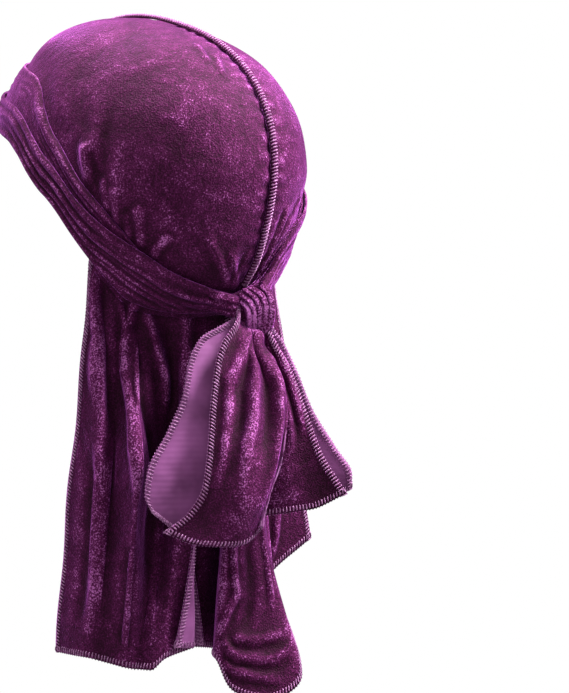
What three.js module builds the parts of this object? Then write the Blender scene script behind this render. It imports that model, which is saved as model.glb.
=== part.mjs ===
// A velvet durag in its worn form: cap of two panels, two strap wraps, a knot, two strap ends and a split tail.
// Millimetres, +Z up. The wearer faces -Y and the origin is where the inside of the crown sits on the head.
import * as THREE from 'three';

// Driving dimensions of the cloth
const CLOTH = 1.2;               // thickness of the velvet
const CLEARANCE = 0.5;           // air between layers that lie on each other
const SEAM_GAP = 0.4;            // air between pieces that meet edge to edge
const FOLD = 2.6;                // height of a main pleat above the layer below it

// Driving dimensions of the cap, which is a rounded egg tipped back on the head
const HALF_WIDTH = 78;
const FRONT_LENGTH = 95.5;
const BACK_LENGTH = 103.2;
const HALF_HEIGHT = 94.6;
const SQUARENESS = 2.35;         // 2 is an ellipsoid, more is squarer
const PITCH = THREE.MathUtils.degToRad(16.9);
const PRESS = 1.8;               // how deep the tight straps press the cap in

// Driving dimensions of the seam, straps, knot and tail
const SEAM_WIDTH = 4.8;
const SEAM_HEIGHT = 2.0;
const TUCK = 6;                  // how far the upper wrap runs on under the lower one
const KNOT_WIDTH = 16;
const KNOT_HEIGHT = 25;
const KNOT_DEPTH = 13;
const END_LENGTH = 130;          // from the knot to the free end
const END_WIDTH = 80;            // widest spread of a strap end
const TAIL_LENGTH = 205;         // from the lower edge of the wrap to the hem
const TAIL_REACH = 190;          // what the places of the tail's folds are shares of

// Colours
const VELVET = 0x5a1f57;
const VELVET_SHADE = 0x4a1947;
const THREAD = 0x6b2a66;

const clamp = THREE.MathUtils.clamp;
const lerp = THREE.MathUtils.lerp;
const smoothstep = THREE.MathUtils.smoothstep;
const degrees = THREE.MathUtils.degToRad;

// Reads one column of a table at any place between its rows, as a smooth line without overshoot
function column(rows, key, name, period = 0) {
  const count = rows.length;
  const place = (i) => {
    const turns = Math.floor(i / count);
    return rows[i - turns * count][key] + turns * period;
  };
  const value = (i) => rows[((i % count) + count) % count][name];
  const slope = (i) => {
    const before = (value(i) - value(i - 1)) / (place(i) - place(i - 1));
    const after = (value(i + 1) - value(i)) / (place(i + 1) - place(i));
    return before * after > 0 ? (2 * before * after) / (before + after) : 0;
  };
  return (at) => {
    let x = at;
    if (period) x = rows[0][key] + THREE.MathUtils.euclideanModulo(at - rows[0][key], period);
    else x = clamp(at, rows[0][key], rows[count - 1][key]);
    let i = 0;
    while (i < (period ? count - 1 : count - 2) && x >= place(i + 1)) i += 1;
    const span = place(i + 1) - place(i);
    const t = (x - place(i)) / span;
    const inner = (j) => (period || (j > 0 && j < count - 1) ? slope(j) : (value(i + 1) - value(i)) / span);
    const [a, b] = [value(i), value(i + 1)];
    const [p, q] = [inner(i) * span, inner(i + 1) * span];
    return hermite(a, b, p, q, t);
  };
}

// Turns a point of the upright egg into the frame of the part
const SEAT = insideCrown();
function tipped(x, y, z) {
  const [c, s] = [Math.cos(PITCH), -Math.sin(PITCH)];
  return new THREE.Vector3(x, y * c - z * s, y * s + z * c - SEAT);
}

// Height of the inside of the crown, straight above the middle of the egg
function insideCrown() {
  const forward = Math.sin(PITCH) / (FRONT_LENGTH - CLOTH);
  const upward = Math.cos(PITCH) / (HALF_HEIGHT - CLOTH);
  return (forward ** SQUARENESS + upward ** SQUARENESS) ** (-1 / SQUARENESS);
}

// A point on the egg: turn is 0 at the left ear, 90 at the back, and rise is a share of the half height
function onHead(turn, rise, height) {
  const lift = height - PRESS * underStraps(turn, rise);
  const power = 2 / SQUARENESS;
  const [c, s] = [Math.cos(degrees(turn)), Math.sin(degrees(turn))];
  const ring = Math.max(0, 1 - Math.abs(rise) ** SQUARENESS) ** (1 / SQUARENESS);
  const length = (s > 0 ? BACK_LENGTH : FRONT_LENGTH) + lift;
  const x = (HALF_WIDTH + lift) * ring * Math.sign(c) * Math.abs(c) ** power;
  const y = length * ring * Math.sign(s) * Math.abs(s) ** power;
  return [x, y, (HALF_HEIGHT + lift) * rise];
}

// 1 where the straps lie on the cap, falling off to 0 a little above them
function underStraps(turn, rise) {
  const edge = Math.max(underTop(turn), overTop(turn));
  return smoothstep(edge - rise, -0.22, 0);
}

// A closed solid between an inner and an outer grid of points; the grid may loop across u
function between(inner, outer, us, vs, loop = false) {
  const points = [];
  const index = new Map();
  const faces = [];
  const add = (p) => {
    const key = `${p.x.toFixed(4)},${p.y.toFixed(4)},${p.z.toFixed(4)}`;
    if (!index.has(key)) {
      index.set(key, points.length / 3);
      points.push(p.x, p.y, p.z);
    }
    return index.get(key);
  };
  const face = (a, b, c) => {
    if (a !== b && b !== c && c !== a) faces.push(a, b, c);
  };
  const quad = (a, b, c, d) => {
    face(a, b, c);
    face(a, c, d);
  };
  const ins = us.map((u) => vs.map((v) => add(inner(u, v))));
  const outs = us.map((u) => vs.map((v) => add(outer(u, v))));
  const columns = loop ? us.length : us.length - 1;
  const last = vs.length - 1;
  for (let i = 0; i < columns; i += 1) {
    const j = (i + 1) % us.length;
    for (let k = 0; k < last; k += 1) {
      quad(outs[i][k], outs[j][k], outs[j][k + 1], outs[i][k + 1]);
      quad(ins[i][k], ins[i][k + 1], ins[j][k + 1], ins[j][k]);
    }
    quad(ins[i][0], ins[j][0], outs[j][0], outs[i][0]);
    quad(ins[i][last], outs[i][last], outs[j][last], ins[j][last]);
  }
  if (!loop) {
    for (let k = 0; k < last; k += 1) {
      const end = us.length - 1;
      quad(ins[0][k], outs[0][k], outs[0][k + 1], ins[0][k + 1]);
      quad(ins[end][k], ins[end][k + 1], outs[end][k + 1], outs[end][k]);
    }
  }
  const geometry = new THREE.BufferGeometry();
  geometry.setAttribute('position', new THREE.Float32BufferAttribute(points, 3));
  geometry.setIndex(faces);
  if (volume(geometry) < 0) {
    for (let i = 0; i < faces.length; i += 3) [faces[i], faces[i + 1]] = [faces[i + 1], faces[i]];
    geometry.setIndex(faces);
  }
  geometry.computeVertexNormals();
  return geometry;
}

// Signed volume, which tells whether the faces look outward
function volume(geometry) {
  const at = geometry.getAttribute('position');
  const index = geometry.getIndex();
  const [a, b, c] = [new THREE.Vector3(), new THREE.Vector3(), new THREE.Vector3()];
  let sum = 0;
  for (let i = 0; i < index.count; i += 3) {
    a.fromBufferAttribute(at, index.getX(i));
    b.fromBufferAttribute(at, index.getX(i + 1));
    c.fromBufferAttribute(at, index.getX(i + 2));
    sum += a.dot(b.cross(c)) / 6;
  }
  return sum;
}

// Gives a middle surface its cloth thickness, half to each side
function thick(middle, us, vs) {
  const shifted = (side) => (u, v) => {
    const step = 0.004;
    const [u0, u1] = [Math.max(u - step, 0), Math.min(u + step, 1)];
    const [v0, v1] = [Math.max(v - step, 0), Math.min(v + step, 1)];
    const across = middle(u1, v).sub(middle(u0, v));
    const down = middle(u, v1).sub(middle(u, v0));
    const normal = across.cross(down).normalize();
    return middle(u, v).addScaledVector(normal, (side * CLOTH) / 2);
  };
  return between(shifted(-1), shifted(1), us, vs);
}

// Facets round the whole head, the same for the cap and the wraps, and even shares from 0 to 1
const TURNS = 56;
function shares(count) {
  return Array.from({ length: count + 1 }, (_, i) => i / count);
}

// The straps round the head, by turn in degrees: 0 left ear, 90 nape, 180 right ear, 270 forehead.
// Edges are shares of the half height, pleat is how strongly the folds of the wraps stand up.
const WRAPS = [
  { turn: -90, underTop: 0.54, overTop: 0.33, overLow: 0.11, pleat: 0.15 },
  { turn: -50, underTop: 0.54, overTop: 0.32, overLow: 0.12, pleat: 0.15 },
  { turn: -24, underTop: 0.53, overTop: 0.31, overLow: 0.10, pleat: 0.25 },
  { turn: -15, underTop: 0.48, overTop: 0.27, overLow: 0.05, pleat: 0.45 },
  { turn: -7, underTop: 0.36, overTop: 0.19, overLow: -0.04, pleat: 0.75 },
  { turn: 4, underTop: 0.16, overTop: 0.04, overLow: -0.18, pleat: 0.90 },
  { turn: 12, underTop: 0.03, overTop: -0.07, overLow: -0.30, pleat: 0.75 },
  { turn: 21, underTop: -0.07, overTop: -0.155, overLow: -0.42, pleat: 0.50 },
  { turn: 31, underTop: -0.18, overTop: -0.22, overLow: -0.53, pleat: 0.35 },
  { turn: 41, underTop: -0.29, overTop: -0.27, overLow: -0.61, pleat: 0.30 },
  { turn: 55, underTop: -0.41, overTop: -0.35, overLow: -0.63, pleat: 0.25 },
  { turn: 70, underTop: -0.46, overTop: -0.40, overLow: -0.62, pleat: 0.25 },
  { turn: 84, underTop: -0.50, overTop: -0.44, overLow: -0.59, pleat: 0.30 },
  { turn: 93, underTop: -0.40, overTop: -0.36, overLow: -0.57, pleat: 0.50 },
  { turn: 100, underTop: -0.16, overTop: -0.12, overLow: -0.55, pleat: 0.60 },
  { turn: 110, underTop: -0.01, overTop: 0.02, overLow: -0.50, pleat: 0.30 },
  { turn: 127, underTop: 0.10, overTop: 0.12, overLow: -0.38, pleat: 0.20 },
  { turn: 150, underTop: 0.22, overTop: 0.20, overLow: -0.20, pleat: 0.25 },
  { turn: 176, underTop: 0.33, overTop: 0.22, overLow: -0.04, pleat: 0.50 },
  { turn: 204, underTop: 0.52, overTop: 0.32, overLow: 0.09, pleat: 0.40 },
  { turn: 235, underTop: 0.54, overTop: 0.33, overLow: 0.12, pleat: 0.15 },
];
const wrapEdge = (name) => column(WRAPS, 'turn', name, 360);
const underTop = wrapEdge('underTop');
const overTop = wrapEdge('overTop');
const overLow = wrapEdge('overLow');
const pleat = wrapEdge('pleat');

// The rim of the cap and the top of the tail meet under the middle of the lower wrap
const rim = (turn) => lerp(overTop(turn), overLow(turn), 0.45);

// Soft folds of the cap: where they lie, how far they run and how high they stand, as shares
const CAP_FOLDS = [
  { turn: 14, rise: 0.20, run: 0.24, spread: 3.2, lean: 8, height: 0.6 },
  { turn: 19, rise: 0.16, run: 0.24, spread: 3.0, lean: 8, height: -0.5 },
  { turn: 28, rise: 0.00, run: 0.20, spread: 4.0, lean: 4, height: 0.4 },
  { turn: 37, rise: -0.05, run: 0.20, spread: 4.0, lean: 3, height: 0.35 },
  { turn: 79, rise: -0.30, run: 0.12, spread: 2.4, lean: -12, height: 0.4 },
  { turn: 84, rise: -0.28, run: 0.12, spread: 2.0, lean: -12, height: -0.4 },
  { turn: 152, rise: 0.42, run: 0.20, spread: 4.0, lean: -6, height: 0.4 },
  { turn: 166, rise: 0.40, run: 0.20, spread: 4.0, lean: -6, height: 0.4 },
];
function capRelief(turn, rise) {
  const edge = Math.max(underTop(turn), overTop(turn));
  const free = smoothstep(rise, edge + 0.03, edge + 0.16) * smoothstep(0.9, rise, 0.6);
  const seam = smoothstep(Math.abs(turn - 90), 2, 7);
  let sum = 0;
  for (const fold of CAP_FOLDS) {
    const along = (rise - fold.rise) / fold.run;
    const aside = (turn - fold.turn - fold.lean * (fold.rise - rise)) / fold.spread;
    sum += fold.height * Math.exp(-along * along - aside * aside);
  }
  return FOLD * sum * free * seam;
}

// One half of the cap, from the centre seam to the rim, side 1 for left and -1 for right
function capPanel(side) {
  const turns = shares(TURNS / 2);
  const rises = shares(13);
  const low = Math.PI / 2;
  const surface = (depth) => (u, v) => {
    const turn = side > 0 ? lerp(-90, 90, u) : lerp(270, 90, u);
    const edge = rim(turn);
    const from = Math.sign(edge) * Math.asin(Math.abs(edge) ** (SQUARENESS / 2));
    const angle = lerp(from, low, v);
    const rise = Math.sign(angle) * Math.abs(Math.sin(angle)) ** (2 / SQUARENESS);
    const [x, y, z] = onHead(turn, rise, capRelief(turn, rise) - depth);
    return tipped(side * Math.max(side * x, SEAM_GAP / 2), y, z);
  };
  return between(surface(CLOTH), surface(0), turns, rises);
}

// The raised centre seam, a half-round ridge along the middle of the cap from wrap to wrap
function centreSeam() {
  const front = Math.asin(underTop(270) ** (SQUARENESS / 2)) + degrees(3);
  const back = Math.PI + Math.asin(Math.abs(overTop(90))) - degrees(9);
  const ridge = shares(5);
  const point = (lift) => (u, v) => {
    const angle = lerp(front, back, v);
    const rise = Math.sign(Math.sin(angle)) * Math.abs(Math.sin(angle)) ** (2 / SQUARENESS);
    const [, y, z] = onHead(angle < Math.PI / 2 ? -90 : 90, rise, lift(u));
    return tipped(lerp(-SEAM_WIDTH / 2, SEAM_WIDTH / 2, u), y, z);
  };
  const floor = () => CLEARANCE;
  const roof = (u) => CLEARANCE + 0.3 + (SEAM_HEIGHT - 0.3) * Math.sin(Math.PI * u) ** 0.7;
  return between(point(floor), point(roof), ridge, shares(36));
}

// Folds across the lower wrap from its upper edge down, and across the upper wrap
const OVER_PROFILE = [
  { across: 0.00, lift: 0.55 },
  { across: 0.09, lift: 1.00 },
  { across: 0.24, lift: 0.15 },
  { across: 0.38, lift: 0.80 },
  { across: 0.52, lift: 0.10 },
  { across: 0.66, lift: 0.70 },
  { across: 0.80, lift: 0.10 },
  { across: 0.91, lift: 0.45 },
  { across: 1.00, lift: 0.00 },
];
const UNDER_PROFILE = [
  { across: 0.00, lift: 0.10 },
  { across: 0.22, lift: 1.00 },
  { across: 0.48, lift: 0.25 },
  { across: 0.70, lift: 0.00 },
  { across: 1.00, lift: 0.00 },
];
const LAYER = CLEARANCE + CLOTH / 2;             // middle of the first layer on the cap
const SECOND_LAYER = LAYER + CLOTH + CLEARANCE;  // middle of a layer that lies on that one

// A strap wound right round the head, a closed loop with its own folds
function wrap(top, low, profile, base, strength) {
  const lift = column(profile, 'across', 'lift');
  const surface = (side) => (u, v) => {
    const turn = lerp(-90, 270, u);
    const rise = lerp(top(turn), low(turn), v);
    const height = base(turn, v) + FOLD * strength(turn) * lift(v);
    const [x, y, z] = onHead(turn, rise, height + (side * CLOTH) / 2);
    return tipped(x, y, z);
  };
  const turns = shares(TURNS).slice(0, TURNS);
  return between(surface(-1), surface(1), turns, profile.map((row) => row.across), true);
}
const tuck = TUCK / HALF_HEIGHT;
const underLow = (turn) => overTop(turn) - tuck;
const underHigh = (turn) => Math.max(underTop(turn), underLow(turn) + 0.5 * tuck);
const overBase = (turn, v) => {
  const depth = v * (overTop(turn) - overLow(turn));
  return lerp(SECOND_LAYER + 0.3, LAYER, smoothstep(depth, tuck * 1.2, tuck * 2.4));
};
const underStrength = (turn) => pleat(turn) * smoothstep(underTop(turn) - overTop(turn), 0.01, 0.07)
  * lerp(1, 0.45, smoothstep(underTop(turn), 0.40, 0.54));

// The hanging pieces are laid out on two level directions: across runs to the right of a viewer
// who stands behind the left shoulder, out runs towards that viewer
const VIEW_TURN = 44.5;
const OUT = new THREE.Vector3(Math.cos(degrees(VIEW_TURN)), Math.sin(degrees(VIEW_TURN)), 0);
const ACROSS = new THREE.Vector3(-OUT.y, OUT.x, 0);
const KNOT_REACH = Math.hypot(KNOT_WIDTH * ACROSS.y, KNOT_DEPTH * OUT.y) / 2;
const KNOT_SEAT = SECOND_LAYER + CLOTH / 2 + 0.7 * FOLD;   // outside of the lower wrap behind the knot
const KNOT_ASIDE = 4;             // how far the knot lies to the right of the seam
const KNOT = tipped(...onHead(90, -0.48, KNOT_SEAT + KNOT_REACH)).addScaledVector(ACROSS, KNOT_ASIDE);

// The knot: a short bundle of cloth with slanting rolls
const KNOT_ROLLS = 4;
const ROLL_HEIGHT = 0.10;        // share of the knot's girth
const KNOT_LEAN = 4.4;           // radians of slant from end to end
function knot() {
  const point = (u, v) => {
    const [around, up] = [2 * Math.PI * u, Math.PI * (v - 0.5)];
    const roll = 1 + ROLL_HEIGHT * Math.cos(KNOT_ROLLS * around + KNOT_LEAN * up) * Math.cos(up);
    const girth = Math.cos(up) ** 0.75 * roll;
    return KNOT.clone()
      .addScaledVector(ACROSS, (KNOT_WIDTH / 2) * girth * Math.cos(around))
      .addScaledVector(OUT, (KNOT_DEPTH / 2) * girth * Math.sin(around))
      .add(new THREE.Vector3(0, 0, (KNOT_HEIGHT / 2) * Math.sin(up)));
  };
  return shell(point, 24, 14);
}

// A closed ball-like solid from a point function that loops across u and closes at both ends of v
function shell(point, around, along) {
  const us = shares(around).slice(0, around);
  const vs = shares(along);
  const points = [];
  const faces = [];
  const top = point(0, 1);
  const bottom = point(0, 0);
  for (let k = 1; k < along; k += 1) {
    for (const u of us) {
      const p = point(u, vs[k]);
      points.push(p.x, p.y, p.z);
    }
  }
  const ring = (k, i) => (k - 1) * around + (i % around);
  const low = points.length / 3;
  points.push(bottom.x, bottom.y, bottom.z, top.x, top.y, top.z);
  for (let i = 0; i < around; i += 1) {
    faces.push(low, ring(1, i + 1), ring(1, i));
    faces.push(low + 1, ring(along - 1, i), ring(along - 1, i + 1));
    for (let k = 1; k < along - 1; k += 1) {
      faces.push(ring(k, i), ring(k, i + 1), ring(k + 1, i + 1));
      faces.push(ring(k, i), ring(k + 1, i + 1), ring(k + 1, i));
    }
  }
  const geometry = new THREE.BufferGeometry();
  geometry.setAttribute('position', new THREE.Float32BufferAttribute(points, 3));
  geometry.setIndex(faces);
  if (volume(geometry) < 0) {
    for (let i = 0; i < faces.length; i += 3) [faces[i], faces[i + 1]] = [faces[i + 1], faces[i]];
    geometry.setIndex(faces);
  }
  geometry.computeVertexNormals();
  return geometry;
}

// A strap end hangs folded double from the knot. Rows run down from the knot: drop is a share of the
// length; back, turn and front are the far edge, the folded side and the near edge as shares of the
// width; far and near are how far out the two layers stand, also as shares of the width.
const LEFT_END = [
  { down: 0.00, back: -0.15, turn: 0.00, front: -0.13, far: -0.02, near: 0.05 },
  { down: 0.10, back: -0.33, turn: 0.05, front: -0.20, far: 0.07, near: 0.18 },
  { down: 0.25, back: -0.47, turn: 0.15, front: -0.29, far: 0.17, near: 0.31 },
  { down: 0.45, back: -0.53, turn: 0.20, front: -0.33, far: 0.25, near: 0.44 },
  { down: 0.62, back: -0.64, turn: 0.17, front: -0.35, far: 0.31, near: 0.53 },
  { down: 0.80, back: -0.77, turn: 0.09, front: -0.39, far: 0.36, near: 0.58 },
  { down: 0.92, back: -0.79, turn: 0.04, front: -0.50, far: 0.385, near: 0.57 },
  { down: 1.00, back: -0.74, turn: 0.02, front: -0.66, far: 0.40, near: 0.56 },
];
const RIGHT_END = [
  { down: 0.00, back: 0.10, turn: 0.01, front: 0.08, far: -0.07, near: 0.00 },
  { down: 0.13, back: 0.19, turn: 0.03, front: 0.14, far: -0.04, near: 0.04 },
  { down: 0.32, back: 0.30, turn: 0.03, front: 0.26, far: 0.00, near: 0.12 },
  { down: 0.54, back: 0.41, turn: 0.02, front: 0.36, far: 0.02, near: 0.16 },
  { down: 0.76, back: 0.58, turn: -0.02, front: 0.46, far: 0.00, near: 0.18 },
  { down: 0.92, back: 0.70, turn: -0.04, front: 0.58, far: -0.02, near: 0.17 },
  { down: 1.00, back: 0.70, turn: -0.05, front: 0.65, far: -0.04, near: 0.16 },
];
// Hem of the strap ends: how long each share of the width hangs, as a share of the length
const LEFT_HEM = [
  { across: 0.00, length: 0.86 },
  { across: 0.03, length: 0.92 },
  { across: 0.08, length: 0.97 },
  { across: 0.20, length: 0.985 },
  { across: 0.50, length: 0.92 },
  { across: 0.75, length: 1.00 },
  { across: 0.93, length: 0.99 },
  { across: 1.00, length: 0.94 },
];
const RIGHT_HEM = [
  { across: 0.00, length: 0.785 },
  { across: 0.04, length: 0.84 },
  { across: 0.14, length: 0.885 },
  { across: 0.50, length: 0.90 },
  { across: 0.92, length: 0.865 },
  { across: 1.00, length: 0.80 },
];

function strapEnd(rows, hem, [from, to], ripples) {
  const read = Object.fromEntries(Object.keys(rows[0]).map((name) => [name, column(rows, 'down', name)]));
  const length = column(hem, 'across', 'length');
  const margin = SEAM_GAP + CLOTH / 2;
  const middle = (u, v) => {
    const round = Math.sin(Math.PI * u) ** 0.8;
    const side = u > 0.5 ? read.front(v) : read.back(v);
    const wave = ripples * Math.sin(2 * Math.PI * (2.5 * u + 0.15)) * smoothstep(v, 0.1, 0.6);
    const place = degrees(lerp(from, to, round));
    const free = smoothstep(v, 0, 0.16);
    const startAside = (KNOT_WIDTH * (1 + ROLL_HEIGHT) / 2 + margin) * Math.cos(place);
    const startDrop = (KNOT_HEIGHT / 2 + margin) * Math.sin(place);
    const aside = lerp(startAside, END_WIDTH * lerp(side, read.turn(v), round), free);
    const drop = lerp(startDrop, END_LENGTH * length(u), v);
    const out = END_WIDTH * lerp(read.far(v), read.near(v), smoothstep(u, 0.30, 0.70)) + wave;
    return KNOT.clone()
      .addScaledVector(ACROSS, aside)
      .addScaledVector(OUT, out)
      .add(new THREE.Vector3(0, 0, -drop));
  };
  return thick(middle, shares(18), shares(12));
}
// Where on the rim of the knot the strap ends leave it, in degrees: 0 right, 90 bottom, 180 left
const LEFT_START = [192, 96];
const RIGHT_START = [8, 78];

// The tail hangs in two panels. Places are shares of the tail's reach from the middle of the egg,
// read at mid length and at the hem; hem is how long the cloth hangs there, and swing how
// fast it moves on at mid length.
const LEFT_TAIL = [
  { across: 0.00, midX: 0.362, midY: 0.067, hemX: 0.345, hemY: -0.023, hem: 0.93, swing: 1.40 },
  { across: 0.12, midX: 0.372, midY: 0.185, hemX: 0.36, hemY: 0.112, hem: 0.93, swing: 1.20 },
  { across: 0.22, midX: 0.31, midY: 0.191, hemX: 0.339, hemY: 0.169, hem: 0.94, swing: 1.00 },
  { across: 0.33, midX: 0.329, midY: 0.307, hemX: 0.322, hemY: 0.236, hem: 0.95, swing: 0.90 },
  { across: 0.47, midX: 0.19, midY: 0.249, hemX: 0.28, hemY: 0.254, hem: 0.96, swing: 0.80 },
  { across: 0.62, midX: 0.15, midY: 0.254, hemX: 0.265, hemY: 0.301, hem: 0.96, swing: 0.80 },
  { across: 0.74, midX: 0.168, midY: 0.329, hemX: 0.229, hemY: 0.317, hem: 0.93, swing: 0.80 },
  { across: 0.86, midX: 0.161, midY: 0.364, hemX: 0.13, hemY: 0.339, hem: 0.91, swing: 0.80 },
  { across: 0.93, midX: 0.141, midY: 0.373, hemX: 0.15, hemY: 0.357, hem: 0.905, swing: 0.80 },
  { across: 1.00, midX: 0.119, midY: 0.386, hemX: 0.206, hemY: 0.34, hem: 0.90, swing: 0.80 },
];
const RIGHT_TAIL = [
  { across: 0.00, midX: 0.115, midY: 0.308, hemX: 0.099, hemY: 0.359, hem: 0.90, swing: 0.80 },
  { across: 0.07, midX: 0.091, midY: 0.314, hemX: 0.118, hemY: 0.286, hem: 0.91, swing: 0.80 },
  { across: 0.15, midX: 0.037, midY: 0.327, hemX: 0.045, hemY: 0.297, hem: 0.92, swing: 0.80 },
  { across: 0.28, midX: -0.039, midY: 0.311, hemX: -0.069, hemY: 0.284, hem: 0.94, swing: 0.80 },
  { across: 0.40, midX: 0.044, midY: 0.412, hemX: 0.109, hemY: 0.41, hem: 0.93, swing: 0.40 },
  { across: 0.48, midX: 0.014, midY: 0.421, hemX: 0.088, hemY: 0.46, hem: 1.02, swing: 0.30 },
  { across: 0.57, midX: -0.028, midY: 0.428, hemX: 0.009, hemY: 0.541, hem: 1.05, swing: 0.20 },
  { across: 0.66, midX: -0.063, midY: 0.413, hemX: -0.08, hemY: 0.602, hem: 0.99, swing: 0.10 },
  { across: 0.71, midX: -0.099, midY: 0.386, hemX: -0.10, hemY: 0.53, hem: 0.87, swing: 0.30 },
  { across: 0.76, midX: -0.14, midY: 0.357, hemX: -0.136, hemY: 0.438, hem: 0.78, swing: 0.60 },
  { across: 0.82, midX: -0.184, midY: 0.339, hemX: -0.176, hemY: 0.371, hem: 0.74, swing: 0.80 },
  { across: 1.00, midX: -0.301, midY: 0.349, hemX: -0.325, hemY: 0.424, hem: 0.63, swing: 0.80 },
];
const RIM_GAP = 2;                 // between the rim of the cap and the top of the tail, under the wrap
const TAIL_TURNS = { left: [20, 94], right: [95, 152] };

const TAIL_MID = 0.45;             // where mid length is, as a share of the free fall

// A smooth fall from top through mid to hem; swing is how fast it moves on at mid length
function swung(top, mid, hem, swing, t) {
  const pace = swing * (hem - top);
  if (t < TAIL_MID) return hermite(top, mid, 0.5 * (mid - top), pace * TAIL_MID, t / TAIL_MID);
  const rest = 1 - TAIL_MID;
  return hermite(mid, hem, pace * rest, (hem - mid) * (2 - swing), (t - TAIL_MID) / rest);
}

function hermite(a, b, p, q, t) {
  return a + t * (p + t * (3 * (b - a) - 2 * p - q + t * (p + q - 2 * (b - a))));
}

function tailPanel(rows, [from, to]) {
  const read = Object.fromEntries(Object.keys(rows[0]).map((name) => [name, column(rows, 'across', name)]));
  const hang = 0.16;               // share of the panel that lies against the head under the wrap
  const middle = (u, v) => {
    const turn = lerp(from, to, u);
    const under = overLow(turn) - 0.06;
    const rise = lerp(rim(turn) - RIM_GAP / HALF_HEIGHT, under, Math.min(v / hang, 1));
    const top = tipped(...onHead(turn, rise, -CLOTH / 2));
    if (v <= hang) return top;
    const t = (v - hang) / (1 - hang);
    const length = TAIL_LENGTH * read.hem(u);
    const mid = new THREE.Vector3(read.midX(u), read.midY(u), 0).multiplyScalar(TAIL_REACH);
    const hem = new THREE.Vector3(read.hemX(u), read.hemY(u), 0).multiplyScalar(TAIL_REACH);
    const x = swung(top.x, mid.x, hem.x, read.swing(u), t);
    const y = swung(top.y, mid.y, hem.y, read.swing(u), t);
    const lowest = -SEAT - 0.9 * HALF_HEIGHT - length;
    return new THREE.Vector3(x, y, lerp(top.z, lowest, t));
  };
  return thick(middle, shares(20), shares(12));
}

// Each sub-part is one named mesh with its own material
function part(name, geometry, colour, roughness) {
  const material = new THREE.MeshStandardMaterial({ color: colour, roughness, metalness: 0 });
  const mesh = new THREE.Mesh(geometry, material);
  mesh.name = name;
  return mesh;
}

const durag = new THREE.Group();
durag.name = 'durag';
durag.add(part('cap_left_panel', capPanel(1), VELVET, 0.85));
durag.add(part('cap_right_panel', capPanel(-1), VELVET, 0.85));
durag.add(part('centre_seam', centreSeam(), THREAD, 0.8));
durag.add(part('strap_under_wrap', wrap(underHigh, underLow, UNDER_PROFILE, () => LAYER, underStrength), VELVET, 0.85));
durag.add(part('strap_over_wrap', wrap(overTop, overLow, OVER_PROFILE, overBase, pleat), VELVET, 0.85));
durag.add(part('knot', knot(), VELVET, 0.85));
durag.add(part('strap_end_left', strapEnd(LEFT_END, LEFT_HEM, LEFT_START, 4), VELVET_SHADE, 0.85));
durag.add(part('strap_end_right', strapEnd(RIGHT_END, RIGHT_HEM, RIGHT_START, 2), VELVET_SHADE, 0.85));
durag.add(part('tail_left_panel', tailPanel(LEFT_TAIL, TAIL_TURNS.left), VELVET_SHADE, 0.85));
durag.add(part('tail_right_panel', tailPanel(RIGHT_TAIL, TAIL_TURNS.right), VELVET_SHADE, 0.85));

export default durag;
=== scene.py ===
import math

import bmesh
import bpy
import numpy as np
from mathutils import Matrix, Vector


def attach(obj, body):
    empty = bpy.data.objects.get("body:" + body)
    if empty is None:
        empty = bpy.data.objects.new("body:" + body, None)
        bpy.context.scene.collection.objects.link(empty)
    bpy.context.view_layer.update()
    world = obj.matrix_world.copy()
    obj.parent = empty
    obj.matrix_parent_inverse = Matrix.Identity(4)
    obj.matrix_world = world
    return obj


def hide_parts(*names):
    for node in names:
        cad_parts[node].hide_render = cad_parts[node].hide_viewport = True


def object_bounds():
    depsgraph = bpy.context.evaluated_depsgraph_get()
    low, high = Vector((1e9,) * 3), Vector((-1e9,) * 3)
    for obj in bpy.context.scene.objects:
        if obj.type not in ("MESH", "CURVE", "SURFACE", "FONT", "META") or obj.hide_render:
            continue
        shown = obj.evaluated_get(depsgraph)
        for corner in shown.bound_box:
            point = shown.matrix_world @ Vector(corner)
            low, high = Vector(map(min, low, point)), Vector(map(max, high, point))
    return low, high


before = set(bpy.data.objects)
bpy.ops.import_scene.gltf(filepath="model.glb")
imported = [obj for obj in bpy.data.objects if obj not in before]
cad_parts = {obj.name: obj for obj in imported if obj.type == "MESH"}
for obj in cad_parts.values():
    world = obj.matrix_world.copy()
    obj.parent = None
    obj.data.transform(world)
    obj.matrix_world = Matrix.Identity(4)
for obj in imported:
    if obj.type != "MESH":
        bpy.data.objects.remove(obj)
cad_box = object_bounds()


# The worn form
# The velvet is stretched to a rounded egg, tipped back, which is the outer side of the cap.
# Lengths here and below are in millimetres until a mesh is made.
HALF_WIDTH = 78.0
FRONT_LENGTH = 95.5   # from the middle to the front
BACK_LENGTH = 103.2
HALF_HEIGHT = 94.6
SQUARENESS = 2.35     # 2 is an ellipse, and more is squarer
PITCH = math.radians(16.9)
PRESS = 1.8           # how deep the tight straps press the cap in
PRESS_FADE = 0.22     # the share of the half height over which that fades out above the straps
CLOTH = 1.2           # thickness of the velvet
CLEARANCE = 0.5       # between two cloths that lie on each other
FOLD = 2.6            # height of a full soft fold

# SEAT: the egg's middle lies this far straight below the crown's inner side, the frame's origin
forward = math.sin(PITCH) / (FRONT_LENGTH - CLOTH)
upward = math.cos(PITCH) / (HALF_HEIGHT - CLOTH)
SEAT = (forward**SQUARENESS + upward**SQUARENESS) ** (-1 / SQUARENESS)


def tipped(x, y, z):
    """Points of the upright egg, in the frame of the part."""
    c, s = math.cos(PITCH), -math.sin(PITCH)
    return np.stack([x + 0 * y, y * c - z * s, y * s + z * c - SEAT], -1)


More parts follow.
